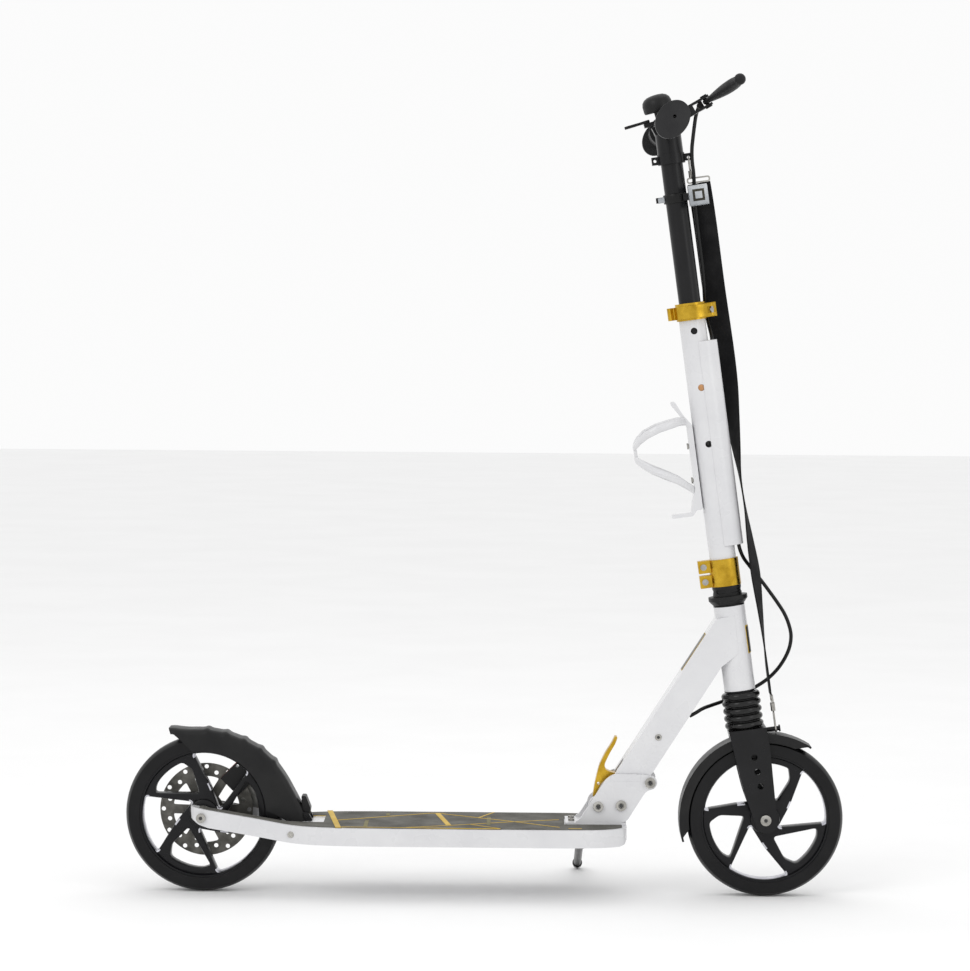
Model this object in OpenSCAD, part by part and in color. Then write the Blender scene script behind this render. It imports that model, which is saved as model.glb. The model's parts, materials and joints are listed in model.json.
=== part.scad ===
// Folding kick scooter with a telescoping stem, a sprung fork and a rear disc brake.
// X points forward, Y to the rider's left, Z up. The origin is on the ground, midway between the wheels.

/* [Wheels] */
// Distance between the two axles
wheelbase = 720; // [640:10:860]
// Outer diameter of the tyres
wheel_d = 200; // [180:1:240]
// Width of a tyre
tyre_w = 30; // [26:1:34]
// Radius where the tyre sits on the rim
rim_r = 82; // [74:1:86]
// Outer radius of the windows in the rim
window_r = 78; // [68:1:79]
// Radius of the axle bolts
axle_r = 4; // [3.5:0.1:5]
// Outer radius of the wheel bearings
bearing_r = 11; // [10:0.5:13]
// Width of a wheel bearing
bearing_w = 7; // [6:0.5:8]
// Half length of the wheel hub
hub_half = 16; // [15:0.5:17]
// Diameter of the brake rotor
rotor_d = 120; // [100:1:126]
// Thickness of the brake rotor
rotor_t = 1.8; // [1.5:0.1:2.5]

/* [Deck] */
// Height of the deck's top face
deck_top = 92; // [84:1:110]
// Height of the deck's side band
deck_h = 22.5; // [18:0.5:26]
// Half width of the deck at its middle
deck_half_w = 74; // [64:1:86]
// Half width across the rear arms
arm_half_w = 48; // [46:0.5:54]
// Wall of the deck shell
deck_wall = 4; // [3:0.5:5]
// Thickness of the grip tape
tape_t = 1; // [0.6:0.1:1.5]

/* [Fold] */
// Half width of the neck tube
neck_half_w = 22; // [19:0.5:23]
// Depth of the neck tube, seen from the side
neck_depth = 39; // [34:1:44]
// Wall of the neck tube
neck_wall = 3; // [2.5:0.5:4]
// Thickness of one bracket plate
plate_t = 4.6; // [3.5:0.1:6]
// Radius of the fold bolt and of the lock bolt
fold_bolt_r = 4; // [3:0.5:5]

/* [Stem] */
// Backward lean of the steering axis, in degrees
rake = 8; // [5:0.5:10]
// Outer radius of the head tube
head_r = 20; // [18.5:0.5:22]
// Length of the head tube
head_len = 109; // [95:1:125]
// Outer radius of the sliding inner tube
inner_r = 14; // [12.5:0.5:14.5]
// Outer radius of the fixed outer tube
outer_r = 17; // [16.5:0.5:18]
// Height of the outer tube's top above the head tube's foot
outer_top = 499; // [480:1:540]
// Height of the handlebar above the head tube's foot
bar_a = 725; // [700:1:780]
// Radius of the handlebar tube
bar_r = 11.1; // [10:0.1:12.5]
// Half length of the handlebar
bar_half = 203; // [180:1:240]
// Distance between two height settings
height_step = 72.5; // [60:0.5:72.5]

/* [Fork] */
// Drop from the head tube's foot to the front axle, beyond the wheel radius
crown_room = 68; // [68:1:76]
// Forward offset of the front axle
fork_offset = 10; // [4:0.5:16]
// Thickness of a fork leg
leg_t = 6; // [5:0.5:8]
// Free height of the rubber bellows
bellows_h = 47; // [44:1:50]

/* [Fits] */
// Radial gap of a turning or sliding fit
fit = 0.05; // [0.02:0.01:0.1]
// Gap between parts that pass each other
gap = 0.4; // [0.3:0.1:0.6]

/* [Hidden] */
$fn = 48;
wheel_r = wheel_d / 2;
rear_x = -wheelbase / 2;
front_x = wheelbase / 2;
axle_drop = wheel_r + crown_room;
head_x = front_x - axle_drop * sin(rake) - fork_offset * cos(rake);
head_z = wheel_r + axle_drop * cos(rake) - fork_offset * sin(rake);
deck_front = front_x - wheel_r - 78;
slot_front = rear_x + wheel_r + 14;
deck_mid = deck_top - deck_h / 2;
arm_rise = wheel_r - deck_mid;
arm_len = slot_front + 6 - rear_x;
arm_end = rear_x - 15;
rotor_r = rotor_d / 2;
rotor_y = 29;
near_in = 24;
far_in = 37;
tyre_half = tyre_w / 2;
fork_in = tyre_half + 4.5;
fork_out = fork_in + leg_t;
pivot = [deck_front - 36.1, deck_top + 24];
lock = pivot + [29.2, 1.5];
knuckle = pivot + [66, 31.2];
lever_pin = pivot + [27.6, 32.5];
neck_lean = 57.5;
neck_dir = [cos(neck_lean), sin(neck_lean)];
neck_out = [sin(neck_lean), -cos(neck_lean)];
neck_rear = -4;
neck_front = neck_rear + neck_depth;
plate_in = neck_half_w + gap;
plate_out = plate_in + plate_t;
base_t = 3.5;
up_dir = [-sin(rake), cos(rake)];
outer_bore = inner_r + fit;
crown_top = -3 - bellows_h;
crown_low = -crown_room + 10.3;
clamp_low = head_len + 26;
rod_r = 9;
stand = [deck_front - 58, 45, deck_top - deck_h - 10.6];
stand_foot_y = 195;
lever_angle = 30.5;
lever_y = -82;
// Widths of the deck in plan: distance behind the front end, then the half width
deck_sides = [[0, 50], [17, 62], [32, 69], [70, 74], [330, 74], [385, 70]];

// Route of the rear brake cable from the deck's front to the caliper
rear_route = [[150, 10, 85.3], [120, 12, 85.3], [60, 14, 85.3], [0, 16, 85.3], [-60, 18, 85.3], [-120, 20, 85.3],
    [-170, 25, 85.3], [-186, 28, 85.3], [-200, 30.5, 85.3], [-210, 31, 86.8], [-220, 31, 91], [-230, 31, 97],
    [-241, 31, 105], [-252, 31, 113], [-264, 31, 120], [-277, 31, 126], [-290, 31, 130], [-302.6, 31, 132]];
// Route of the front cable loop, in the steering frame
loop_route = [[22.5, 0, 240], [22.5, 0, 225], [22.5, 0, 210], [22.5, 0, 196], [22.5, 1, 184], [24, 3, 175],
    [27, 8, 166], [32, 14, 157], [38, 18, 147], [46, 20, 134], [55, 20, 118], [63, 19, 103], [70, 18, 88],
    [74, 17, 73], [75, 17, 58], [71, 18, 43], [63, 21, 29], [52, 25, 16], [38, 28, 5], [22, 29, -3], [6, 29, -9],
    [-10, 28, -13], [-24, 25, -16], [-37, 20, -18], [-49, 14, -20], [-60, 9, -24], [-68, 9, -27]];
// Route of the upper cable, in the steering frame
upper_route = [[40.6, -62.6, 741.8], [40.6, -54, 741.8], [39, -43, 739], [36, -32, 731], [33, -24, 719],
    [30, -18, 706], [27, -14, 692], [25.5, -11, 677], [25.5, -8.6, 663], [25, -6.2, 653], [24, -3.8, 643],
    [23, -3, 632], [22.5, -2, 618], [22, 0, 595], [22, 2, 570], [22, 5, 545], [21.5, 9, 523], [20.5, 14, 506],
    [20, 17.5, 494], [20, 17.5, 482], [21, 13.5, 470], [22, 7, 459], [22.5, 2, 450], [22.5, 0, 440], [22.5, 0, 420],
    [22.5, 0, 395], [22.5, 0, 370], [22.5, 0, 345]];
// Route of the carry strap, in the steering frame, with its turn about its own length
strap_route = [[31, 0.6, 648.6, 0], [32, 4, 628, 0], [33, 10, 590, 5], [33.5, 17, 550, 8], [34, 22, 510, 10],
    [35, 24, 470, 14], [36, 24, 430, 22], [36.5, 20, 390, 36], [36, 13, 350, 55], [35.5, 6, 310, 72],
    [35.5, 2, 270, 90], [36.5, 0, 230, 96], [37.5, 0, 190, 108], [39, 0, 145, 116], [39, 0, 100, 106],
    [38.5, 0, 60, 96], [38, 0, 25, 90], [38, 0, -10.6, 90]];

function unit(v) = v / norm(v);
// Corners of an outline eased over r on each side
function soft(p, r, n = 5) = [for (i = [0:len(p) - 1])
    let (b = p[i], a = p[(i + len(p) - 1) % len(p)], c = p[(i + 1) % len(p)],
        t = min(r, norm(a - b) * 0.45, norm(c - b) * 0.45), u = unit(a - b), w = unit(c - b))
    for (k = [0:n - 1]) let (s = k / (n - 1)) (1 - s) * (1 - s) * (b + t * u) + 2 * s * (1 - s) * b
        + s * s * (b + t * w)];
function arc(r, a0, a1, n = 16, c = [0, 0]) = [for (k = [0:n])
    c + r * [cos(a0 + (a1 - a0) * k / n), sin(a0 + (a1 - a0) * k / n)]];
function along(p, i) = unit(p[min(i + 1, len(p) - 1)] - p[max(i - 1, 0)]);
function point3(p) = [for (v = p) [v[0], v[1], v[2]]];
// Deck half width and rise at a place along X
function side_w(x) = x < slot_front - 20 ? arm_half_w
    : lookup(deck_front - x, concat(deck_sides, [[deck_front - slot_front + 20, arm_half_w]]));
function ramp(x) = let (s = (slot_front + 20 - x) / (arm_len + 14))
    s <= 0 ? 0 : s < 0.3 ? arm_rise * s * s / 0.6 / 0.85 : arm_rise * (s - 0.15) / 0.85;
deck_xs = concat([for (x = [arm_end:12:slot_front + 18]) x], [slot_front + 20]);

module steer() translate([head_x, 0, head_z]) rotate([0, -rake, 0]) children();
// Side view outline, X and Z, given a width across Y
module side(w, y = 0) translate([0, y, 0]) rotate([90, 0, 0]) linear_extrude(w, center = true) children();
module post(r, h, x = 0, y = 0, a = 0) translate([x, y, a]) cylinder(r = r, h = h);
module across(r, y0, y1, x, z) translate([x, y1, z]) rotate([90, 0, 0]) cylinder(r = r, h = y1 - y0);
module wheel_at(x) translate([x, 0, wheel_r]) rotate([90, 0, 0]) children();
// A closed tube or strip with half sizes rx and ry along a route, turned by the route's fourth number
module sweep(p, rx, ry, n = 8, ref = [0, 1, 0]) {
    q = point3(p);
    m = len(q);
    turn = [for (v = p) len(v) > 3 ? v[3] : 0];
    ring = n == 4 ? [[1, 1], [-1, 1], [-1, -1], [1, -1]] : [for (k = [0:n - 1]) [cos(k * 360 / n), sin(k * 360 / n)]];
    pts = [for (i = [0:m - 1])
        let (t = along(q, i), s = unit(cross(ref, t)), f = cross(t, s), c = cos(turn[i]), d = sin(turn[i]))
        for (e = ring) q[i] + rx * e[0] * (c * s + d * f) + ry * e[1] * (c * f - d * s)];
    walls = [for (i = [0:m - 2], k = [0:n - 1]) [i * n + k, i * n + (k + 1) % n, (i + 1) * n + (k + 1) % n,
        (i + 1) * n + k]];
    ends = [[for (k = [n - 1:-1:0]) k], [for (k = [0:n - 1]) (m - 1) * n + k]];
    polyhedron(pts, [for (f = concat(walls, ends)) [for (k = [len(f) - 1:-1:0]) f[k]]], convexity = 6);
}

// Wheels
module tyre() rotate_extrude($fn = 96) intersection() {
    translate([rim_r, -tyre_half]) square([wheel_r - rim_r, tyre_w]);
    translate([wheel_r - 25.4, 0]) circle(r = 26);
}
small_window = concat([[11, -24], [window_r - 11, -12]], arc(window_r - 7, -19, -55, 5), [[26, -52]]);
large_window = concat([[17, -11.5]], arc(window_r, -4, 52, 7), [[32, 17]]);
module rim(turn) difference() {
    union() {
        rotate([0, 0, turn]) linear_extrude(20, center = true) difference() {
            circle(r = window_r + 3, $fn = 96);
            for (k = [0:2]) rotate(120 * k) {
                polygon(soft(small_window, 5));
                polygon(soft(large_window, 5));
            }
        }
        difference() {
            translate([0, 0, -13]) cylinder(r = rim_r, h = 26, $fn = 96);
            translate([0, 0, -14]) cylinder(r = window_r + 0.5, h = 28, $fn = 96);
        }
        translate([0, 0, -hub_half]) cylinder(r = 19, h = 2 * hub_half);
    }
    translate([0, 0, -hub_half - 1]) cylinder(r = axle_r + 2.5, h = 2 * hub_half + 2);
    for (s = [-1, 1]) translate([0, 0, s * (hub_half - bearing_w / 2) - bearing_w / 2 - (s > 0 ? 0 : 1)])
        cylinder(r = bearing_r, h = bearing_w + 1);
}
module bearings() for (s = [-1, 1]) translate([0, 0, s * (hub_half - bearing_w / 2) - bearing_w / 2])
    difference() {
        cylinder(r = bearing_r, h = bearing_w);
        translate([0, 0, -1]) cylinder(r = axle_r + fit, h = bearing_w + 2);
    }
module front_tyre() color("#1c1c1e") wheel_at(front_x) tyre();
module rear_tyre() color("#1c1c1e") wheel_at(rear_x) tyre();
module front_rim() color("#252628") wheel_at(front_x) rim(0);
module rear_rim() color("#252628") {
    wheel_at(rear_x) rim(48);
    wheel_at(rear_x) difference() {
        translate([0, 0, -rotor_y]) cylinder(r = 18, h = rotor_y - hub_half);
        translate([0, 0, -rotor_y - 1]) cylinder(r = bearing_r + 0.5, h = rotor_y + 2);
        for (k = [0:5]) rotate(60 * k) translate([15, 0, -rotor_y - 1]) cylinder(r = 1.6, h = 9);
    }
}
module front_bearings() color("silver") wheel_at(front_x) bearings();
module rear_bearings() color("silver") wheel_at(rear_x) bearings();
module brake_rotor() color("#8f8c86") wheel_at(rear_x) translate([0, 0, -rotor_y - rotor_t])
    linear_extrude(rotor_t) difference() {
        circle(r = rotor_r, $fn = 96);
        circle(r = 12.5);
        for (k = [0:5]) rotate(60 * k) translate([15, 0]) circle(r = 1.7);
        for (k = [0:5]) rotate(60 * k + 12)
            polygon(soft(concat(arc(22, 6, 34, 4), arc(rotor_r - 17, 40, -4, 6)), 4));
        for (k = [0:23]) rotate(15 * k) translate([rotor_r - (k % 2 == 0 ? 4.5 : 11), 0]) circle(r = 2.8, $fn = 16);
    }
module rotor_bolts() color("#3a3a3c") wheel_at(rear_x) for (k = [0:5]) rotate(60 * k)
    translate([15, 0, -rotor_y - rotor_t]) {
        translate([0, 0, -2.2]) cylinder(r = 2.9, h = 2.2);
        cylinder(r = 1.6, h = rotor_t + 7);
    }
module front_axle() color("silver") {
    across(axle_r, -fork_out - 1, fork_out + 7, front_x, wheel_r);
    across(7, -fork_out - 4, -fork_out - 0.5, front_x, wheel_r);
    across(7.5, fork_out + 0.5, fork_out + 6, front_x, wheel_r);
    for (s = [-1, 1]) difference() {
        across(6.5, s > 0 ? hub_half + gap : -fork_in, s > 0 ? fork_in : -hub_half - gap, front_x, wheel_r);
        across(axle_r, -fork_out, fork_out, front_x, wheel_r);
    }
}
module rear_axle() color("silver") {
    across(axle_r, -arm_half_w - 1, arm_half_w + 7, rear_x, wheel_r);
    across(6, -arm_half_w - 4, -arm_half_w - 0.2, rear_x, wheel_r);
    across(7, arm_half_w + 0.2, arm_half_w + 6, rear_x, wheel_r);
    difference() {
        union() {
            across(6.5, -near_in, -hub_half - gap, rear_x, wheel_r);
            across(6.5, hub_half + gap, far_in, rear_x, wheel_r);
        }
        across(axle_r, -arm_half_w, arm_half_w, rear_x, wheel_r);
    }
}

// Deck
module deck_plan(inset) {
    near = concat([for (s = deck_sides) [deck_front - s[0] - (s[0] == 0 ? inset : 0), -s[1] + inset]],
        [[slot_front - 20, -arm_half_w + inset], [arm_end + inset, -arm_half_w + inset]]);
    far = [for (i = [len(near) - 1:-1:0]) [near[i][0], -near[i][1]]];
    polygon(soft(concat(near, far), 24, 6));
}
module deck_side(low, high) polygon(concat(
    [[arm_end + 12, deck_top + low + ramp(arm_end)], [arm_end + 2, deck_top + low + 7 + ramp(arm_end)]],
    [for (x = deck_xs) [x, deck_top + high + ramp(x)]],
    [[deck_front, deck_top + high], [deck_front, deck_top + low + 8], [deck_front - 3, deck_top + low + 2],
     [deck_front - 9, deck_top + low]],
    [for (i = [len(deck_xs) - 1:-1:2]) [deck_xs[i], deck_top + low + ramp(deck_xs[i])]]));
module wheel_slot() translate([arm_end - 20, -near_in, 0])
    cube([slot_front - arm_end + 20, near_in + far_in, wheel_r * 2]);
module deck() color("#f2f2f0") difference() {
    intersection() {
        side(4 * deck_half_w) deck_side(-deck_h, 0);
        linear_extrude(3 * wheel_r) deck_plan(0);
    }
    wheel_slot();
    difference() {
        intersection() {
            linear_extrude(deck_top - deck_wall) deck_plan(deck_wall);
            translate([slot_front + 26, -deck_half_w * 2, 0])
                cube([deck_front - slot_front - 40, deck_half_w * 4, wheel_r]);
        }
        for (y = [-30, 36]) translate([slot_front, y - 1.5, 0]) cube([deck_front - slot_front, 3, wheel_r]);
    }
    across(axle_r, -arm_half_w * 2, arm_half_w * 2, rear_x, wheel_r);
    for (s = [-1, 1]) across(2.5, s > 0 ? 40 : -arm_half_w * 2, s > 0 ? arm_half_w * 2 : -40,
        slot_front + 1, deck_top - deck_h / 2);
    translate([slot_front + 12, 27.5, deck_top - deck_h + 6]) cube([34, 6.9, deck_h]);
    for (s = [-1, 1]) {
        across(4.3, s > 0 ? screw_y : -screw_y - 20, s > 0 ? screw_y + 20 : -screw_y, slot_front + 1, deck_top - deck_h / 2);
        translate([fender_pin[0] - 11, s * 14 - 2.1, deck_top]) cube([22, 4.2, 20]);
    }
}
module grip_tape() color("#6d6a61") difference() {
    intersection() {
        side(4 * deck_half_w) polygon(concat([for (x = deck_xs) if (x > arm_end + 6) [x, deck_top + ramp(x)]],
            [[deck_front - 6, deck_top], [deck_front - 6, deck_top + tape_t]],
            [for (i = [len(deck_xs) - 1:-1:0]) if (deck_xs[i] > arm_end + 6)
                [deck_xs[i], deck_top + tape_t + ramp(deck_xs[i])]]));
        linear_extrude(3 * wheel_r) deck_plan(5);
    }
    translate([0, -4, 0]) wheel_slot();
    translate([0, 4, 0]) wheel_slot();
    translate([slot_front - 1, -26, 0]) cube([42, 61, wheel_r * 2]);
    translate([rear_x + 42, 30, 0]) cube([50, 40, wheel_r * 2]);
    translate([pivot[0] - 43, -plate_out - 0.6, 0]) cube([120, 2 * plate_out + 1.2, wheel_r]);
}
module screw(r, h, head_r, head_h, x, y, z, s) {
    across(r, s > 0 ? y - h : y, s > 0 ? y : y + h, x, z);
    difference() {
        across(head_r, s > 0 ? y : y - head_h, s > 0 ? y + head_h : y, x, z);
        across(head_r * 0.5, s > 0 ? y + head_h * 0.4 : y - head_h - 1, s > 0 ? y + head_h + 1 : y - head_h * 0.4, x, z);
    }
}
screw_y = side_w(slot_front + 1) - 0.8;
module deck_screws() color("#8a8a8c") {
    for (s = [-1, 1]) screw(2.4, 8, 4.2, 1.5, slot_front + 1, s * screw_y, deck_top - deck_h / 2, s);
    for (x = [pivot[0] - 34, deck_front - 8], y = [-12, 12]) translate([x, y, deck_top + base_t]) {
        difference() {
            cylinder(r = 4, h = 2.5);
            translate([0, 0, 1]) cylinder(r = 2, h = 3);
        }
        translate([0, 0, -base_t]) cylinder(r = 2.4, h = base_t);
    }
}

// Fold bracket, its bolts and the foot lever
plate_side = [[-30, -20.5], [-23, -16], [9.6, 36], [20, 42], [60, 41.5], [73, 38], [75.5, 31], [72, 23.5],
    [61, 20.5], [51, 4.5], [35.5, -20.5]];
module fold_bracket() color("#f2f2f0") difference() {
    union() {
        for (s = [-1, 1]) side(plate_t, s * (plate_in + plate_t / 2)) translate(pivot) polygon(soft(plate_side, 7));
        translate([pivot[0] - 42, -plate_out, deck_top])
            cube([deck_front - pivot[0] + 41.5, 2 * plate_out, base_t]);
    }
    across(fold_bolt_r, -plate_out * 2, plate_out * 2, pivot[0], pivot[1]);
    across(fold_bolt_r, -plate_out * 2, plate_out * 2, lock[0], lock[1]);
    across(3, -plate_out * 2, plate_out * 2, knuckle[0], knuckle[1]);
    for (x = [pivot[0] - 34, deck_front - 8], y = [-12, 12]) translate([x, y, 0]) cylinder(r = 2.4, h = wheel_r * 2);
    for (s = [-1, 1]) translate([pivot[0] + 15, s * (plate_out + 9.4) - 10, pivot[1] + 32.6]) cube([39, 20, 20]);
}
module cross_bolt(p, r, head_r, head_h, nut_r) {
    across(r, -plate_out - 0.5, plate_out + 7, p[0], p[1]);
    difference() {
        across(head_r, -plate_out - head_h, -plate_out, p[0], p[1]);
        across(head_r * 0.5, -plate_out - head_h - 1, -plate_out - head_h * 0.5, p[0], p[1]);
    }
    difference() {
        across(nut_r, plate_out, plate_out + 5.5, p[0], p[1]);
        across(r, plate_out - 1, plate_out + 8, p[0], p[1]);
    }
}
module fold_bolt() color("#55565a") cross_bolt(pivot, fold_bolt_r, 6.6, 3.4, 6.8);
module lock_bolt() color("silver") cross_bolt(lock, fold_bolt_r, 6.8, 3, 6.8);
knuckle_sleeve = (knuckle - pivot) * neck_out - neck_front - gap;
module knuckle_bolt() color("silver") {
    cross_bolt(knuckle, 3, 6.8, 4, 6.6);
    difference() {
        across(knuckle_sleeve, -plate_in + gap, plate_in - gap, knuckle[0], knuckle[1]);
        across(3, -plate_in, plate_in, knuckle[0], knuckle[1]);
    }
}
lever_side = [[-6.9, 10], [-3.9, 29], [1.1, 50], [8.1, 65], [18.1, 81], [21, 88], [24.6, 87], [22, 79],
    [14, 65], [8, 52], [9, 45], [17, 41.5], [26, 40.5], [33, 33], [30, 26], [24, 20], [23, -8], [17, -8],
    [16, 18], [13, 27], [6, 30], [0.5, 20], [-3.5, 10]];
module foot_lever() color("goldenrod") difference() {
    union() {
        intersection() {
            side(16) translate(pivot) polygon(soft(lever_side, 5));
            side(18) translate(pivot) polygon([[-12, 5], [9, 5], [40, 44], [40, 95], [-12, 95]]);
        }
        intersection() {
            side(8) translate(pivot) polygon(soft(lever_side, 3));
            side(18) translate(pivot) polygon([[8, 48], [8, 20], [12, -20], [40, -20], [40, 60]]);
        }
        across(5.2, -8, 8, lever_pin[0], lever_pin[1]);
    }
    across(3 + fit, -20, 20, lever_pin[0], lever_pin[1]);
    across(2, -20, 20, pivot[0] + 0.5, pivot[1] + 27);
}
module lever_pin() color("silver") across(3, -neck_half_w + 0.2, neck_half_w - 0.2, lever_pin[0], lever_pin[1]);

// Neck with its head tube
function neck_at(u, v) = pivot + u * neck_dir + v * neck_out;
neck_u = 283;
module neck_outline(d) polygon([neck_at(lock[1] > pivot[1] ? 6 : 0, neck_rear + d),
    neck_at(neck_u, neck_rear + d), neck_at(neck_u + 16, neck_rear + 17), neck_at(neck_u - 22, neck_front + 9),
    neck_at(neck_u - 48, neck_front - d),
    [pivot[0] + (neck_front - d + 1.5 * neck_dir[0]) / neck_dir[1], lock[1]], [pivot[0] + 10, lock[1]]]);
module neck() color("#f2f2f0") difference() {
    union() {
        intersection() {
            side(2 * neck_half_w) neck_outline(0);
            linear_extrude(600) polygon([[0, -neck_half_w], [head_x - 76, -neck_half_w], [head_x - 26, -head_r],
                [head_x, -head_r], [head_x, head_r], [head_x - 26, head_r], [head_x - 76, neck_half_w], [0, neck_half_w]]);
        }
        across(13, -neck_half_w, neck_half_w, pivot[0], pivot[1]);
        steer() cylinder(r = head_r, h = head_len, $fn = 72);
    }
    difference() {
        side(2 * (neck_half_w - neck_wall)) union() {
            intersection() {
                neck_outline(neck_wall);
                polygon([neck_at(-60, -30), neck_at(neck_u - 58, -30), neck_at(neck_u - 76, 60), neck_at(-60, 60)]);
            }
            translate(pivot) circle(r = 14);
            translate(lock - [7, 10]) square([26, 12]);
        }
        across(7, -neck_half_w, neck_half_w, pivot[0], pivot[1]);
    }
    across(fold_bolt_r + fit, -30, 30, pivot[0], pivot[1]);
    across(fold_bolt_r + gap, -30, 30, lock[0], lock[1]);
    across(3, -neck_half_w + 0.1, neck_half_w - 0.1, lever_pin[0], lever_pin[1]);
    side(18) polygon([neck_at(10, neck_rear - 8), neck_at(66, neck_rear - 8), neck_at(66, neck_rear + 5),
        neck_at(10, neck_rear + 5)]);
    steer() {
        translate([0, 0, -20]) cylinder(r = inner_r + 2.6, h = head_len + 60);
        translate([0, 0, -20]) cylinder(r = head_r - 1.5, h = 30);
        translate([0, 0, head_len - 10]) cylinder(r = head_r - 1.5, h = 60);
        translate([0, 0, -40]) cylinder(r = head_r + 30, h = 40);
        translate([0, 0, head_len]) cylinder(r = head_r + 30, h = 60);
    }
    translate([pivot[0] + 114, 9, pivot[1] + 114]) rotate([0, 73, 0]) cylinder(r = 3.4, h = 20, center = true);
}
module headset_cups() color("#2a2a2c") steer() {
    for (s = [0, 1]) translate([0, 0, s * head_len]) mirror([0, 0, s]) difference() {
        translate([0, 0, -1.6]) union() {
            cylinder(r = head_r, h = 1.6);
            cylinder(r = head_r - 1.5, h = 11.6);
        }
        translate([0, 0, -3]) cylinder(r = inner_r + 3.2, h = 16);
    }
}
module headset_bearings() color("silver") steer() for (a = [0.5, head_len - 8.5]) translate([0, 0, a]) difference() {
    cylinder(r = inner_r + 3.2, h = 8);
    translate([0, 0, -1]) cylinder(r = inner_r + fit, h = 10);
}

// Steering column
module steerer() color("#2a2a2c") steer() difference() {
    union() {
        translate([0, 0, -7]) cylinder(r = inner_r, h = 225);
        translate([0, 0, -7]) cylinder(r = inner_r + 3.5, h = 5);
    }
    translate([0, 0, -8]) cylinder(r = rod_r + fit, h = 130);
    translate([0, 0, 110]) cylinder(r = inner_r - 2.5, h = 200);
    translate([0, 0, head_len + 19.5]) rotate([90, 0, 0]) cylinder(r = 2.2, h = 60, center = true);
}
module headset_cap() color("#2a2a2c") steer() difference() {
    union() {
        translate([0, 0, head_len + 2]) cylinder(r1 = head_r, r2 = 25, h = 6);
        translate([0, 0, head_len + 8]) cylinder(r = 25, h = 5);
        translate([0, 0, head_len + 13]) cylinder(r = 18.5, h = 13);
    }
    translate([0, 0, head_len]) cylinder(r = inner_r, h = 40);
    for (k = [0:5]) rotate(60 * k + 30) translate([0, 0, head_len + 19.5]) rotate([90, 0, 0])
        translate([-4, 0, 16]) linear_extrude(10) union() {
            circle(r = 2.6, $fn = 16);
            translate([8, 0]) circle(r = 2.6, $fn = 16);
            translate([0, -2.6]) square([8, 5.2]);
        }
}
module lower_clamp() color("goldenrod") steer() translate([0, 0, clamp_low]) difference() {
    union() {
        cylinder(r = outer_r + 2.2, h = 35);
        for (a = [0, 19]) translate([-outer_r - 16, -7.5, a]) cube([16, 15, 16]);
    }
    translate([0, 0, -1]) cylinder(r = outer_r, h = 40);
    translate([-outer_r - 20, -1.2, -1]) cube([22, 2.4, 40]);
    for (a = [8, 27]) translate([-outer_r - 9.5, 0, a]) rotate([90, 0, 0]) cylinder(r = 2.5, h = 60, center = true);
}
module outer_tube() color("#f2f2f0") steer() difference() {
    translate([0, 0, clamp_low]) cylinder(r = outer_r, h = outer_top - clamp_low, $fn = 72);
    translate([0, 0, 0]) cylinder(r = outer_bore, h = outer_top + 10, $fn = 72);
    for (k = [-1:1]) translate([0, 0, button_a + k * height_step]) rotate([90, 0, 0]) cylinder(r = 4.3, h = 40);
    translate([0, -1, outer_top - 40]) cube([outer_r + 5, 2, 60]);
}
button_a = 390.5;
fair_low = 186;
fair_high = 449;
module cable_fairing() color("#f2f2f0") steer() translate([0, 0, fair_low]) linear_extrude(fair_high - fair_low)
    difference() {
        polygon(soft([[1, -outer_r - 1.4], [15, -outer_r - 0.4], [outer_r + 11.5, -8], [outer_r + 11.5, 8],
            [15, outer_r + 0.4], [1, outer_r + 1.4]], 8));
        circle(r = outer_r, $fn = 72);
        polygon(soft([[outer_r - 4, -7], [outer_r + 9, -5.5], [outer_r + 9, 5.5], [outer_r - 4, 7]], 2));
    }
module upper_clamp() color("goldenrod") steer() translate([0, 0, outer_top - 22]) difference() {
    union() {
        cylinder(r = outer_r + 2.4, h = 22);
        translate([outer_r - 2, -9.5, 1.5]) cube([17, 19, 18]);
    }
    translate([0, 0, -1]) cylinder(r = outer_r, h = 40);
    translate([outer_r - 5, -1.2, -1]) cube([30, 2.4, 40]);
    translate([outer_r + 9, 0, 10.5]) rotate([90, 0, 0]) cylinder(r = 2.5, h = 60, center = true);
}
module stem_bolts() color("silver") steer() {
    for (a = [8, 27]) translate([0, 0, clamp_low + a]) {
        across(2.5, -10.6, 10.9, -outer_r - 9.5, 0);
        across(4, -10.5, -7.5, -outer_r - 9.5, 0);
        across(4.5, 7.5, 11, -outer_r - 9.5, 0);
    }
    translate([0, 0, outer_top - 11.5]) {
        across(2.5, -18, 14, outer_r + 9, 0);
        translate([lever_hub[0], lever_hub[1], -8]) cylinder(r = 2 - fit, h = 16);
        across(5, 9.5, 14, outer_r + 9, 0);
    }
    for (a = [274, 318]) translate([-outer_r - 8.1, 0, a]) rotate([0, 90, 0]) {
        translate([0, 0, -2]) cylinder(r = 4, h = 2);
        cylinder(r = 2.5, h = 8);
    }
}
lever_hub = [outer_r + 9, -16];
module clamp_lever() color("goldenrod") steer() translate([0, 0, outer_top - 19.5]) difference() {
    linear_extrude(16) polygon(soft(concat(arc(outer_r + 8, -62, -152, 12), [[-28, -17], [-31, -13], [-30, -8.5],
        [-25, -9.5]], arc(outer_r + 4.6, -154, -44, 14), [[18.5, -12.6], [26, -11], [31, -16], [26, -21],
        [17, -20.5]]), 2));
    translate([lever_hub[0], lever_hub[1], -1]) cylinder(r = 2, h = 20);
    translate([lever_hub[0] - 6, lever_hub[1] - 6, 4]) cube([12, 20, 8]);
}

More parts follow.
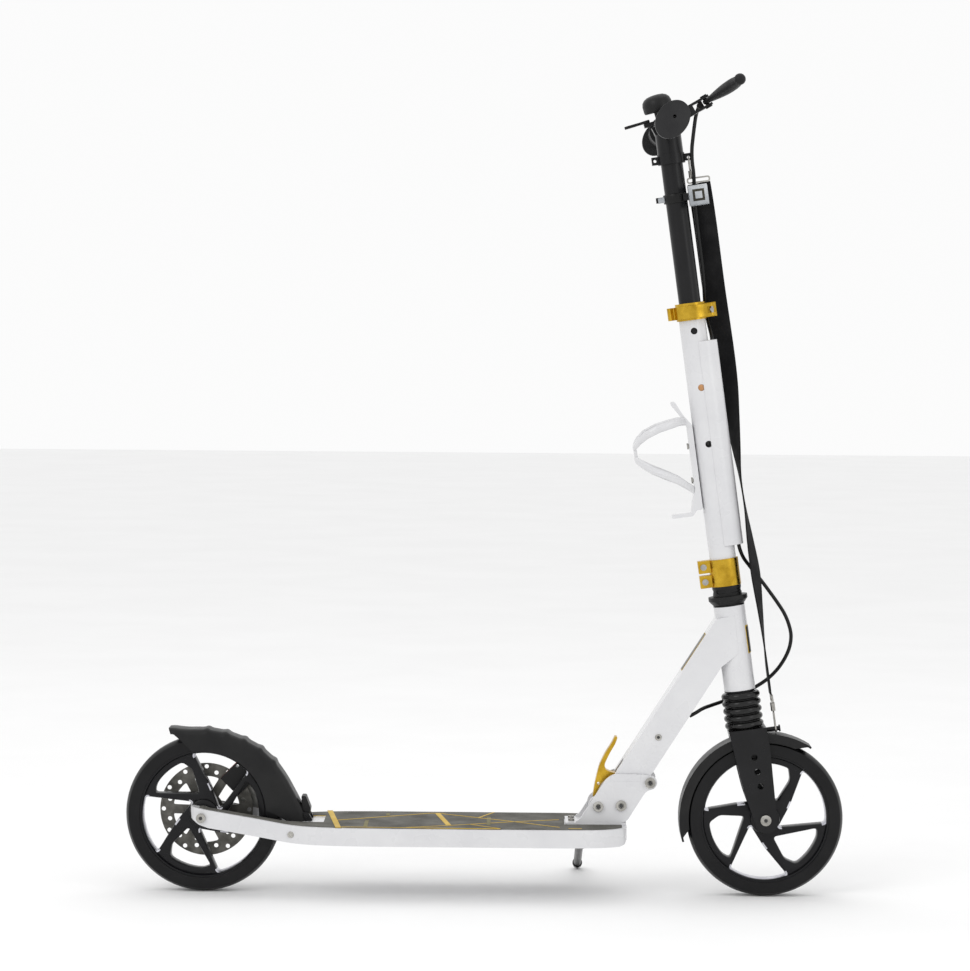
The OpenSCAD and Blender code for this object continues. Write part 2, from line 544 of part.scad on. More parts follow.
// Bottle cage
hoop_high = [[-26, 7, 350], [-34, 22, 351], [-46, 33, 349], [-62, 37.5, 346], [-78, 33, 340], [-88, 22, 333],
    [-93, 10, 327], [-94, 0, 325], [-93, -10, 327], [-88, -22, 333], [-78, -33, 340], [-62, -37.5, 346],
    [-46, -33, 349], [-34, -22, 351], [-26, -7, 350]];
hoop_low = [[-26, 7, 262], [-33, 18, 268], [-44, 31, 277], [-60, 37.5, 286], [-76, 33.5, 295], [-87, 23, 303],
    [-92.5, 10, 308], [-93.5, 0, 310], [-92.5, -10, 308], [-87, -23, 303], [-76, -33.5, 295], [-60, -37.5, 286],
    [-44, -31, 277], [-33, -18, 268], [-26, -7, 262]];
module bottle_cage() color("#f4f4f2") steer() difference() {
    union() {
        sweep(hoop_high, 2.2, 5, 8, [0, 0, 1]);
        sweep(hoop_low, 2.2, 5, 8, [0, 0, 1]);
        side(9) polygon(soft([[-95.5, 324], [-91.5, 324], [-91, 309], [-95, 309]], 1));
        side(20) polygon(soft([[-25, 236], [-outer_r - 0.6, 236], [-outer_r - 0.6, 345], [-27, 358], [-36, 377],
            [-41, 377], [-41, 373], [-30, 356], [-24.5, 343], [-24.5, 262], [-29, 250], [-33, 233], [-58, 234],
            [-58, 229], [-31, 229]], 2));
    }
    for (a = [274, 318]) translate([0, 0, a]) rotate([0, -90, 0]) cylinder(r = 2.5, h = 60);
}

// Fork, suspension and front fender
leg_side = [[-22, crown_top], [26, crown_top], [27.5, -75], [fork_offset + 15.5, -axle_drop + 30],
    [fork_offset + 14, -axle_drop - 12], [fork_offset + 4, -axle_drop - 18], [fork_offset - 11, -axle_drop - 15],
    [fork_offset - 23, -axle_drop + 40]];
module fork() color("#1e1e20") steer() difference() {
    union() {
        for (s = [-1, 1]) side(leg_t, s * (fork_in + leg_t / 2)) polygon(soft(leg_side, 7));
        side(2 * fork_out) polygon([[-22, crown_top], [26, crown_top], [26.5, crown_low], [-21.3, crown_low]]);
        translate([24, 0, crown_top - 6]) rotate([0, 90, 0]) cylinder(r = 3, h = 20);
        translate([43, 0, crown_top - 6]) rotate([0, 90, 0]) cylinder(r = 4.4, h = 2);
    }
    across(axle_r, -60, 60, fork_offset, -axle_drop);
    translate([0, 0, -80]) cylinder(r = rod_r, h = 120);
    for (k = [0:2]) translate([6 + 1.5 * k, 0, -86 - 19 * k]) rotate([90, 0, 0])
        cylinder(r = 4, h = 100, center = true);
}
module slider_rod() color("silver") steer() translate([0, 0, crown_low + 0.4]) cylinder(r = rod_r, h = -crown_low + 55);
spring_turns = 6;
module fork_spring() color("#8a8a8c") steer() sweep([for (k = [0:spring_turns * 9])
    [12.2 * cos(k * 40), 12.2 * sin(k * 40), crown_top + 1.8 + (bellows_h - 7.5) * k / (spring_turns * 9)]],
    1.4, 1.4, 6, [0, 0, 1]);
module bellows() color("#161616") steer() translate([0, 0, crown_top + 0.3]) rotate_extrude($fn = 72) difference() {
    union() {
        translate([18, 0]) square([2.5, bellows_h]);
        for (k = [0:4]) translate([20.5, (k + 0.5) * bellows_h / 5]) circle(r = 4.4, $fn = 24);
    }
    for (k = [0:4]) translate([18.6, (k + 0.5) * bellows_h / 5]) circle(r = 3, $fn = 24);
    translate([0, -10]) square([18, 80]);
    translate([14, -6]) square([20, 6]);
    translate([14, bellows_h]) square([20, 6]);
}
module guard(r_out, r_in, skirt, half, a0, a1) rotate([90, 0, 0]) {
    translate([0, 0, -half]) linear_extrude(2 * half) polygon(concat(arc(r_out, a0, a1, 32), arc(r_in, a1, a0, 32)));
    for (s = [-1, 1]) translate([0, 0, s * (half - 1) - 1]) linear_extrude(2)
        polygon(concat(arc(r_out - 0.5, a0 + 1, a1 - 2, 32), arc(skirt, a1 - 8, a0 + 10, 32)));
}
module front_fender() color("#1f1f21") difference() {
    translate([front_x, 0, wheel_r]) guard(wheel_r + 10, wheel_r + 7.5, wheel_r - 2, tyre_half + 4, 58, 196);
}
// A flat oval link around a place, standing across X
module link(x, half, low, high, wire) translate([x - wire, 0, 0]) rotate([90, 0, 90]) linear_extrude(2 * wire)
    difference() {
        polygon(soft([[-half - 2 * wire, low], [half + 2 * wire, low], [half + 2 * wire, high], [-half - 2 * wire, high]], 5));
        polygon(soft([[-half, low + 2 * wire], [half, low + 2 * wire], [half, high - 2 * wire], [-half, high - 2 * wire]], 4));
    }
// The frame that a strap end is sewn round
module strap_ring(low, high, x) translate([x, 0, 0]) side(2.4) difference() {
    polygon(soft([[-15, low], [15, low], [15, high], [-15, high]], 4));
    polygon(soft([[-13, low + 2], [13, low + 2], [13, high - 2], [-13, high - 2]], 3));
}
module lower_hook() color("silver") steer() {
    link(39, 3.6, crown_top - 11, -33, 1);
    post(3, 11, 39, 0, -33);
    translate([39, 0, 0]) rotate([0, 0, 90]) strap_ring(-22, -11, 0);
}

// Sliding mast with the handlebar
module at_bar() steer() translate([0, 0, bar_a]) children();
module lever_frame() at_bar() rotate([0, rake - lever_angle, 0]) children();
module inner_tube() color("#242426") steer() difference() {
    translate([0, 0, 330]) cylinder(r = inner_r, h = bar_a - 330 - 16, $fn = 72);
    translate([0, 0, 320]) cylinder(r = inner_r - 2, h = bar_a);
    translate([0, 0, button_a]) rotate([90, 0, 0]) cylinder(r = 4.25, h = 40);
}
module snap_button() color("#c98f52") steer() translate([0, 0, button_a]) rotate([90, 0, 0]) {
    translate([0, 0, 4]) cylinder(r = 4.2, h = inner_r - 4.7);
    difference() {
        translate([-3, -30, 3]) cube([6, 60, 1]);
        translate([-1, -40, 2.5]) cube([2, 34, 3]);
    }
}
module bar_socket() color("#2a2a2c") at_bar() difference() {
    union() {
        across(16, -46, 46, 0, 0);
        translate([0, 0, -36]) cylinder(r = 16.5, h = 36);
        translate([0, 0, -48]) cylinder(r = 17.5, h = 13);
        translate([12, -4, -46]) cube([14, 8, 9]);
        translate([-25, -6, -47]) cube([12, 12, 10]);
        for (y = [-30, 30]) translate([0, y, 0]) rotate([0, 60, 0]) cylinder(r = 3.4, h = 17.5);
    }
    across(bar_r, -60, 60, 0, 0);
    translate([0, 0, -60]) cylinder(r = inner_r, h = 44);
    across(2, -10, 10, 22, -42.5);
    across(2, -10, 10, -21, -42);
}
module handlebar() color("#242426") at_bar() difference() {
    across(bar_r, -bar_half + 1, bar_half - 1, 0, 0);
    across(bar_r - 2, -bar_half * 2, bar_half * 2, 0, 0);
}
grip_in = 96;
module grips() color("#303033") at_bar() for (s = [-1, 1]) difference() {
    union() {
        across(16, s > 0 ? grip_in : -bar_half + 4, s > 0 ? bar_half - 4 : -grip_in, 0, 0);
        across(18.5, s > 0 ? grip_in : -grip_in - 5, s > 0 ? grip_in + 5 : -grip_in, 0, 0);
        side(9, s * (bar_half - 1.5)) rotate(48)
            polygon([for (k = [0:47]) [-4.3 + 25 * cos(k * 7.5), 19.5 * sin(k * 7.5)]]);
    }
    across(bar_r, s > 0 ? grip_in - 1 : -bar_half + 1, s > 0 ? bar_half - 1 : -grip_in + 1, 0, 0);
    across(2, -bar_half * 2, bar_half * 2, 0, 0);
}
lever_at = [52, lever_y];
module brake_perch() color("#1d1d1f") {
    perch();
    lever_screw();
}
module perch() lever_frame() difference() {
    union() {
        across(16.5, lever_y - 10, lever_y + 10, 0, 0);
        translate([12, lever_y - 8, -7]) cube([30, 16, 14]);
        linear_extrude(14, center = true) polygon(soft([[40, lever_y - 8], [58, lever_y - 6], [58, lever_y + 6],
            [46, lever_y + 16], [38, lever_y + 8]], 4));
        translate([-24, lever_y - 8, -5]) cube([12, 16, 10]);
        across(4, lever_y + 10, lever_y + 19, 44, 0);
    }
    across(bar_r, lever_y - 30, lever_y + 30, 0, 0);
    translate([34, lever_y - 30, -4]) cube([50, 44, 8]);
    translate([lever_at[0], lever_at[1], 4]) cylinder(r = 2.5, h = 10);
    translate([lever_at[0], lever_at[1], -14]) cylinder(r = 2.5, h = 10);
    across(2, lever_y - 30, lever_y + 6, -19, 0);
}
module brake_lever() color("#19191b") lever_frame() difference() {
    union() {
        linear_extrude(7.2, center = true) {
            translate(lever_at) circle(r = 6.5);
            polygon(soft([[46, -79], [58, -80], [68, -100], [82, -124], [93, -146], [98, -164], [97, -180], [88, -180],
                [84, -168], [72, -150], [58, -124], [50, -100]], 12));
        }
        translate([92.7, -180, 0]) sphere(r = 7.2, $fn = 32);
    }
    translate([lever_at[0], lever_at[1], -10]) cylinder(r = 2.5 + fit, h = 20);
}
module lever_screw() lever_frame() translate([lever_at[0], lever_at[1], -8.5]) {
    cylinder(r = 2.5, h = 17);
    cylinder(r = 4.4, h = 1.4);
    translate([0, 0, 15.6]) cylinder(r = 4.4, h = 1.4);
}
bell_y = 64;
module bell_frame() at_bar() translate([0, bell_y, 0]) rotate([0, -9.5, 0]) children();
module bell() color("#1d1d1f") bell_frame() {
    difference() {
        union() {
            across(15, -8, 8, 0, 0);
            translate([-24, -8, 9]) cube([34, 16, 5]);
            translate([0, 0, 10]) cylinder(r = 7, h = 16);
            translate([-20, 0, 13]) cylinder(r = 2, h = 5);
        }
        across(bar_r, -20, 20, 0, 0);
    }
    translate([0, 0, 25]) rotate_extrude() polygon([[0, 0], [18.5, 0], [19.3, 2], [19.3, 10], [18, 14.5], [15, 18],
        [10.5, 20.2], [5, 21], [0, 21.2]]);
}
module bell_lever() color("#19191b") bell_frame() translate([-20, 0, 14.4]) difference() {
    linear_extrude(3.6) polygon(concat(arc(4.6, -140, 140, 18), soft([[-12, 3.4], [-26, 4], [-30, -3], [-26, -8],
        [-18, -5], [-10, -3.2]], 4)));
    translate([0, 0, -1]) cylinder(r = 2 + fit, h = 8);
}
module lamp() color("#d9dcde") steer() translate([0, 0, 633]) {
    difference() {
        union() {
            cylinder(r = inner_r + 1.8, h = 9, center = true);
            translate([8, -17, -4.5]) cube([11, 9.5, 9]);
            translate([-inner_r - 12, -5, -3.5]) cube([12, 3, 7]);
        }
        cylinder(r = inner_r, h = 20, center = true);
    }
    translate([0, -20, 0]) rotate([0, 90, 0]) translate([0, 0, 15]) linear_extrude(24)
        polygon(soft([[-13, -12.5], [13, -12.5], [13, 12.5], [-13, 12.5]], 5));
}
module upper_hook() color("silver") steer() {
    translate([0, 0, 0]) link(22, 4.4, bar_a - 60, bar_a - 41.2, 0.9);
    post(2.6, 9, 22, 0, bar_a - 68.6);
    strap_ring(649, 656.8, 31);
}
module upper_cable() color("#161616") steer() sweep(upper_route, 2.4, 2.4, 8, [1, 0, 0]);
module front_cable() color("#161616") steer() sweep(loop_route, 2.4, 2.4);
module rear_cable() color("#161616") sweep(rear_route, 2.4, 2.4);
module carry_strap() color("#202022") steer() sweep(strap_route, 15, 1, 4);

// Kickstand
module stand_frame() translate(stand) rotate([-20, 0, 0]) children();
module stand_mount() color("#2a2a2c") difference() {
    union() {
        translate([stand[0] - 24, 34.5, deck_top - deck_h - 3]) cube([48, deck_half_w - 36.5, 3]);
        stand_frame() {
            translate([0, 0, 4 + gap]) cylinder(r = 10, h = 12);
            translate([0, 0, -8]) cylinder(r = 4, h = 20);
            translate([0, 0, -8]) cylinder(r = 7, h = 3.6);
        }
    }
    translate([0, 0, deck_top - deck_h]) linear_extrude(40) square(4 * wheelbase, center = true);
}
foot_reach = (stand[2] - 6.5) / sin(20);
module kickstand() color("#222224") stand_frame() difference() {
    union() {
        translate([0, 0, -4]) cylinder(r = 10, h = 8);
        across(3.9, 6, 14, 0, 0);
        across(5.2, 12, foot_reach - 8, 0, 0);
    }
    translate([0, 0, -10]) cylinder(r = 4 + fit, h = 20);
}
module stand_foot() color("#141414") stand_frame() {
    across(6.5, foot_reach - 8, foot_reach, 0, 0);
    translate([0, foot_reach, 0]) sphere(r = 6.5, $fn = 32);
}

// Rear fender and its hinge
fender_line = [[112, 22.5], [97, 14.5], [86, 14.5], [74, 14.5], [61, 15], [49, 18], [36, 21], [26, 22.5], [13, 25.5],
    [1.5, 31], [-2, 33]];
function fender_at(a, e) = (wheel_r + e) * [cos(a), sin(a)];
function fender_curve(d) = [for (f = fender_line) fender_at(f[0], f[1] - d)];
function back(p) = [for (i = [len(p) - 1:-1:0]) p[i]];
fender_pin = [slot_front + 17, deck_top + 6.5];
fender_half = 21;
module rear_fender() color("#2b2b2d") difference() {
    union() {
        translate([rear_x, 0, wheel_r]) {
            side(2 * fender_half) polygon(concat(fender_curve(0), back(fender_curve(2.6))));
            for (s = [-1, 1]) side(2.4, s * (fender_half - 1.2)) polygon(concat(fender_curve(1),
                arc(wheel_r - 14, -1, 76, 14), [[-24, wheel_r - 15], [-36, wheel_r - 4]]));
            for (k = [[84, 14.5], [73, 14.5], [63, 15], [54, 17], [45, 19.5]])
                side(30) translate(fender_at(k[0], k[1])) circle(r = 2.4, $fn = 16);
        }
        side(22) polygon([fender_pin + [-5, 0], fender_pin + [5, 0], [rear_x + wheel_r + 26, wheel_r + 18],
            [rear_x + wheel_r + 22, wheel_r + 18]]);
        across(5, -11, 11, fender_pin[0], fender_pin[1]);
    }
    across(2.5 + fit, -30, 30, fender_pin[0], fender_pin[1]);
    for (s = [-1, 1]) translate([fender_pin[0] - 12, s * 14.2 - 3, deck_top - 5]) cube([30, 6, 18.5]);
}
module fender_hinge() color("#2a2a2c") {
    for (s = [-1, 1]) side(4, s * 14) difference() {
        polygon(soft([fender_pin + [-10, -6.5], fender_pin + [-4, 5], fender_pin + [4, 5], fender_pin + [10, -6.5]], 4));
        translate(fender_pin) circle(r = 2.5);
    }
    across(2.5, -17.5, 17.5, fender_pin[0], fender_pin[1]);
}

// Rear disc brake
module caliper_frame() translate([rear_x, 0, wheel_r]) rotate([0, -45, 0]) children();
rotor_mid = rotor_y + rotor_t / 2;
module brake_caliper() color("#26272a") {
    caliper_body();
    brake_pads();
}
module caliper_body() caliper_frame() difference() {
    union() {
        translate([rotor_r - 18, 22.6, -16]) cube([32, 18.4, 32]);
        across(11, 40.5, 43, rotor_r - 2, 0);
    }
    translate([0, rotor_mid - 4, -40]) cube([rotor_r + 1.8, 8, 80]);
    across(3 + fit, 30, 50, rotor_r - 2, 0);
    for (s = [-1, 1]) across(2, 20, 50, rotor_r + 9, s * 12);
}
module brake_pads() caliper_frame() for (s = [-1, 1])
    translate([rotor_r - 15, rotor_mid + s * 2.65 - 1.3, -11]) cube([14, 2.6, 22]);
module caliper_arm() color("#8f9094") caliper_frame() difference() {
    union() {
        across(8, 43 + gap, 46.5, rotor_r - 2, 0);
        across(3, 35.2, 47, rotor_r - 2, 0);
        side(3, 45) polygon(soft([[rotor_r - 8, -4], [rotor_r + 18, -14], [rotor_r + 24, -10], [rotor_r + 22, -4],
            [rotor_r - 2, 8]], 3));
    }
    across(1.2, 40, 50, rotor_r + 20, -9);
}
module caliper_mount() color("#9a9a98") difference() {
    side(6, 44) polygon([[rear_x + 41, wheel_r + 16.6], [rear_x + 38, wheel_r + 24], [rear_x + 52, wheel_r + 36], [rear_x + 61, wheel_r + 31], [rear_x + 76, wheel_r + 18],
        [rear_x + 86, wheel_r - 3], [rear_x + 86, deck_top + ramp(rear_x + 86) + 0.02],
        [rear_x + 50, deck_top + ramp(rear_x + 50) + 0.02], [rear_x + 44, wheel_r + 8]]);
    across(2.6, 30, 60, rear_x + 73, wheel_r + 8);
}

deck();
grip_tape();
fold_bracket();
fold_bolt();
lock_bolt();
knuckle_bolt();
deck_screws();
stand_mount();
kickstand();
stand_foot();
rear_axle();
rear_tyre();
rear_rim();
rear_bearings();
brake_rotor();
rotor_bolts();
brake_caliper();
caliper_mount();
caliper_arm();
rear_cable();
rear_fender();
fender_hinge();
neck();
headset_cups();
headset_bearings();
lever_pin();
foot_lever();
steerer();
headset_cap();
lower_clamp();
outer_tube();
cable_fairing();
upper_clamp();
stem_bolts();
bottle_cage();
clamp_lever();
fork();
slider_rod();
fork_spring();
bellows();
front_fender();
front_axle();
lower_hook();
front_tyre();
front_rim();
front_bearings();
inner_tube();
bar_socket();
handlebar();
grips();
brake_perch();
brake_lever();
bell();
bell_lever();
lamp();
upper_hook();
snap_button();
upper_cable();
front_cable();
carry_strap();
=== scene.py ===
import json
import math

import bmesh
import bpy
from mathutils import Matrix, Vector
from mathutils.bvhtree import BVHTree


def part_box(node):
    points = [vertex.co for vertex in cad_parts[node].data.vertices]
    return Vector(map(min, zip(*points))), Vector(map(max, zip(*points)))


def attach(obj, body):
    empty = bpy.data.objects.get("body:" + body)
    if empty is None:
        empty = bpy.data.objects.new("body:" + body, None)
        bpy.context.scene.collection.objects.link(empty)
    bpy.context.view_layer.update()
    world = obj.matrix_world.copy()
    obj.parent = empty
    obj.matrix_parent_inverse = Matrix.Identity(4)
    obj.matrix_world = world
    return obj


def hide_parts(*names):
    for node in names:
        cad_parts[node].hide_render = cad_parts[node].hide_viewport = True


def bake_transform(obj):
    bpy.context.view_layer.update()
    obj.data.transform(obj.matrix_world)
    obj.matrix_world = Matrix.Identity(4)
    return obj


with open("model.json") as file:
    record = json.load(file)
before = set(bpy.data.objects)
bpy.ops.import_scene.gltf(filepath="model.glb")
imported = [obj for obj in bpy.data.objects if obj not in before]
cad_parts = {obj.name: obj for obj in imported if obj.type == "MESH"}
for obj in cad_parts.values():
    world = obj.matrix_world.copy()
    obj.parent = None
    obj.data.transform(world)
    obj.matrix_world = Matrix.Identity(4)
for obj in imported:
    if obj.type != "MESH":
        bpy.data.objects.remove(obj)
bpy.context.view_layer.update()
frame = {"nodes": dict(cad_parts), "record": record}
print("frame loaded")

# Camera, at the height of the stem and a little in front of the middle
view = {"place": (0.0375, -4.1277, 0.7333), "lens": 119.78, "pitch": -2.902, "yaw": 0.549, "roll": 0.433}
camera = bpy.data.objects.new("camera", bpy.data.cameras.new("camera"))
bpy.context.collection.objects.link(camera)
camera.location = view["place"]
camera.data.lens = view["lens"]
camera.data.sensor_width = 36
camera.rotation_mode = "QUATERNION"
turn = Matrix.Rotation(math.radians(view["yaw"]), 3, "Z") @ Matrix.Rotation(math.radians(90 + view["pitch"]), 3, "X")
camera.rotation_quaternion = (turn @ Matrix.Rotation(math.radians(view["roll"]), 3, "Z")).to_quaternion()
bpy.context.scene.camera = camera
bpy.context.scene.view_settings.view_transform = "Standard"

# The frame of the steering column: forward, left, up along the column
rake = math.radians(8)
columnFoot = Vector((0.3267162, 0, 0.2649733))
column = Matrix.Translation(columnFoot) @ Matrix.Rotation(-rake, 4, "Y")
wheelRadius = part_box("front_tyre")[1][2] / 2
rearHub = Vector((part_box("rear_tyre")[0][0] + wheelRadius, 0, wheelRadius))
frontHub = Vector((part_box("front_tyre")[1][0] - wheelRadius, 0, wheelRadius))
barHeight = 0.725


# Materials
def newFinish(name, colour, rough, metal=0.0, coat=0.0, specular=0.5):
    finish = bpy.data.materials.new(name)
    finish.use_nodes = True
    shader = finish.node_tree.nodes["Principled BSDF"]
    shader.inputs["Base Color"].default_value = (*colour, 1)
    shader.inputs["Roughness"].default_value = rough
    shader.inputs["Metallic"].default_value = metal
    shader.inputs["Coat Weight"].default_value = coat
    shader.inputs["Coat Roughness"].default_value = 0.08
    shader.inputs["Specular IOR Level"].default_value = specular
    return finish


def node(finish, kind, **values):
    made = finish.node_tree.nodes.new(kind)
    for key, value in values.items():
        if hasattr(made, key):
            setattr(made, key, value)
        else:
            made.inputs[key.replace("_", " ")].default_value = value
    return made


def link(finish, a, out, b, into):
    finish.node_tree.links.new(a.outputs[out], b.inputs[into])


def objectSpace(finish, scale=(1, 1, 1), turn=(0, 0, 0), place=(0, 0, 0)):
    place = node(finish, "ShaderNodeMapping", Location=place, Rotation=turn, Scale=scale)
    link(finish, node(finish, "ShaderNodeTexCoord"), "Object", place, "Vector")
    return place


def ramp(finish, source, out, low, high, a, b):
    made = node(finish, "ShaderNodeMapRange", From_Min=low, From_Max=high, To_Min=a, To_Max=b)
    link(finish, source, out, made, "Value")
    return made


def shaderOf(finish):
    return finish.node_tree.nodes["Principled BSDF"]


# Cloudy change of colour and gloss over a surface
def mottle(finish, dark, light, roughLow, roughHigh, scale=40, detail=5):
    space = objectSpace(finish)
    noise = node(finish, "ShaderNodeTexNoise", Scale=scale, Detail=detail, Roughness=0.6)
    link(finish, space, "Vector", noise, "Vector")
    mix = node(finish, "ShaderNodeMix", data_type="RGBA")
    mix.inputs["A"].default_value = (*dark, 1)
    mix.inputs["B"].default_value = (*light, 1)
    finish.node_tree.links.new(ramp(finish, noise, "Fac", 0.35, 0.65, 0, 1).outputs[0], mix.inputs["Factor"])
    finish.node_tree.links.new(mix.outputs["Result"], shaderOf(finish).inputs["Base Color"])
    smear = node(finish, "ShaderNodeTexNoise", Scale=scale * 2.3, Detail=3)
    link(finish, space, "Vector", smear, "Vector")
    link(finish, ramp(finish, smear, "Fac", 0.3, 0.7, roughLow, roughHigh), 0, shaderOf(finish), "Roughness")
    return mix


# Fine grain on a surface
def grain(finish, scale, strength, distance, kind="ShaderNodeTexNoise", stretch=(1, 1, 1)):
    space = objectSpace(finish, scale=stretch)
    pattern = node(finish, kind, Scale=scale)
    if kind == "ShaderNodeTexNoise":
        pattern.inputs["Detail"].default_value = 2
    link(finish, space, "Vector", pattern, "Vector")
    bump = node(finish, "ShaderNodeBump", Strength=strength, Distance=distance)
    height = pattern.outputs["Fac" if kind == "ShaderNodeTexNoise" else "Distance"]
    finish.node_tree.links.new(height, bump.inputs["Height"])
    link(finish, bump, "Normal", shaderOf(finish), "Normal")
    return bump


def paint(name, dark, light, rough, coat, peel=0.05, specular=0.5):
    finish = newFinish(name, light, rough, coat=coat, specular=specular)
    mottle(finish, dark, light, rough * 0.85, rough * 1.2, 14)
    grain(finish, 900, peel, 0.0002)
    return finish


def moulding(name, dark, light, rough, size, strength, specular=0.25):
    finish = newFinish(name, light, rough, specular=specular)
    mottle(finish, dark, light, rough * 0.88, min(1, rough * 1.15), 30)
    grain(finish, size, strength, 0.0003)
    return finish


def metal(name, dark, light, rough, stretch=(1, 1, 1), strength=0.12, coat=0.0):
    finish = newFinish(name, light, rough, metal=1, coat=coat)
    mottle(finish, dark, light, rough * 0.75, rough * 1.3, 60)
    grain(finish, 500, strength, 0.0002, stretch=stretch)
    return finish


finishes = {
    "white": paint("whiteGloss", (0.62, 0.62, 0.635), (0.67, 0.67, 0.68), 0.28, 0.35),
    "black": paint("blackSatin", (0.004, 0.004, 0.0045), (0.008, 0.008, 0.009), 0.3, 0, 0.1, 0.26),
    "plastic": moulding("blackMoulding", (0.006, 0.006, 0.0065), (0.011, 0.011, 0.011), 0.4, 1400, 0.2, 0.24),
    "tyre": moulding("castTyre", (0.003, 0.003, 0.0035), (0.006, 0.006, 0.0065), 0.34, 1000, 0.1, 0.22),
    "rim": moulding("blackRim", (0.003, 0.003, 0.004), (0.006, 0.006, 0.007), 0.3, 1100, 0.1, 0.24),
    "machined": metal("machinedWall", (0.45, 0.45, 0.49), (0.66, 0.66, 0.7), 0.34, (1, 30, 1)),
    "steel": metal("zincSteel", (0.28, 0.27, 0.25), (0.48, 0.47, 0.44), 0.27, (1, 8, 1)),
    "gold": metal("goldAnodised", (0.42, 0.25, 0.02), (0.6, 0.38, 0.04), 0.28, (1, 1, 12), 0.08),
    "rotor": metal("rotorSteel", (0.1, 0.097, 0.088), (0.17, 0.165, 0.15), 0.42, (10, 1, 1), 0.2),
    "cast": metal("castAlloy", (0.2, 0.2, 0.19), (0.32, 0.32, 0.3), 0.48, (1, 1, 1), 0.4),
    "copper": metal("copperAnodised", (0.45, 0.22, 0.09), (0.65, 0.36, 0.18), 0.35),
    "bellows": moulding("glossRubber", (0.003, 0.003, 0.003), (0.006, 0.006, 0.006), 0.16, 600, 0.06, 0.35),
    "grip": moulding("gripRubber", (0.008, 0.008, 0.0085), (0.014, 0.014, 0.015), 0.5, 1800, 0.3),
    "disc": moulding("gripDisc", (0.014, 0.014, 0.015), (0.022, 0.022, 0.023), 0.45, 900, 0.2),
    "cable": moulding("cableJacket", (0.004, 0.004, 0.004), (0.008, 0.008, 0.008), 0.3, 700, 0.08),
    "webbing": moulding("webbing", (0.005, 0.005, 0.0055), (0.011, 0.011, 0.0115), 0.8, 900, 0.5, 0.15),
    "tape": moulding("gritTape", (0.085, 0.083, 0.074), (0.15, 0.146, 0.132), 0.9, 1500, 0.9),
    "pads": moulding("brakePads", (0.2, 0.03, 0.02), (0.32, 0.05, 0.04), 0.6, 900, 0.4),
    "printGold": moulding("printedGold", (0.5, 0.33, 0.05), (0.62, 0.42, 0.07), 0.55, 1500, 0.5),
    "printOlive": moulding("printedOlive", (0.15, 0.135, 0.07), (0.2, 0.18, 0.09), 0.7, 1500, 0.6),
    "badge": moulding("badgeFoil", (0.02, 0.018, 0.012), (0.05, 0.045, 0.03), 0.3, 400, 0.2),
    # The socket finish is painted shade: a dark grey standing in for the shadow inside hex bolt sockets
    "socket": moulding("socketShade", (0.03, 0.03, 0.03), (0.06, 0.06, 0.06), 0.5, 900, 0.2),
    "lens": moulding("clearLens", (0.3, 0.32, 0.34), (0.6, 0.62, 0.64), 0.14, 260, 0.5, 0.5),
}
print("finishes made")

# The CAD nodes that keep their shape: rounded edge in mm, segments, finish
kept = {
    "deck": (1.2, 3, "white"), "fold_bracket": (0.8, 3, "white"), "fold_bolt": (0.4, 2, "steel"),
    "lock_bolt": (0.4, 2, "steel"), "knuckle_bolt": (0.4, 2, "steel"), "deck_screws": (0.3, 2, "steel"),
    "stand_mount": (0.8, 2, "black"), "kickstand": (0.8, 3, "black"), "stand_foot": (0.5, 2, "bellows"),
    "rear_axle": (0.4, 2, "steel"), "rear_bearings": (0.3, 2, "steel"), "brake_rotor": (0.15, 1, "rotor"),
    "rotor_bolts": (0.3, 2, "steel"), "caliper_mount": (0.8, 2, "cast"), "caliper_arm": (0.4, 2, "cast"),
    "fender_hinge": (0.5, 2, "black"), "neck": (1.6, 4, "white"), "headset_cups": (0.4, 2, "black"),
    "headset_bearings": (0.3, 1, "steel"), "lever_pin": (0.3, 2, "steel"), "foot_lever": (0.9, 3, "gold"),
    "steerer": (0.5, 2, "black"), "headset_cap": (0.8, 3, "plastic"), "lower_clamp": (0.8, 3, "gold"),
    "outer_tube": (0.3, 2, "white"), "cable_fairing": (1.0, 3, "white"), "upper_clamp": (0.7, 3, "gold"),
    "stem_bolts": (0.3, 2, "steel"), "clamp_lever": (0.6, 3, "gold"), "fork": (1.0, 3, "black"),
    "slider_rod": (0.5, 2, "steel"), "front_axle": (0.4, 2, "steel"), "front_bearings": (0.3, 2, "steel"),
    "inner_tube": (0.3, 2, "black"), "bar_socket": (1.2, 3, "black"), "handlebar": (0.3, 2, "black"),
    "brake_perch": (0.8, 3, "black"), "snap_button": (0.3, 2, "copper"), "bell_lever": (0.5, 2, "plastic"),
    "bell": (0.6, 3, "plastic"), "upper_hook": (0.4, 2, "steel"), "lower_hook": (0.4, 2, "steel"),
    "bottle_cage": (0.8, 3, "white"), "front_fender": (0.6, 3, "plastic"), "front_tyre": (0.5, 2, "tyre"),
    "rear_tyre": (0.5, 2, "tyre"), "grip_tape": (0.2, 1, "tape"),
}


def bodyOf(name):
    for body, names in frame["record"]["behaviour"]["bodies"].items():
        if name in names:
            return body


# A merged copy of a CAD node, in flat faces with their true edges
def copyOf(name, angle=0.6):
    shape = bmesh.new()
    shape.from_mesh(frame["nodes"][name].data)
    bmesh.ops.remove_doubles(shape, verts=shape.verts, dist=2e-6)
    bmesh.ops.dissolve_limit(shape, angle_limit=math.radians(angle), verts=shape.verts, edges=shape.edges)
    return shape


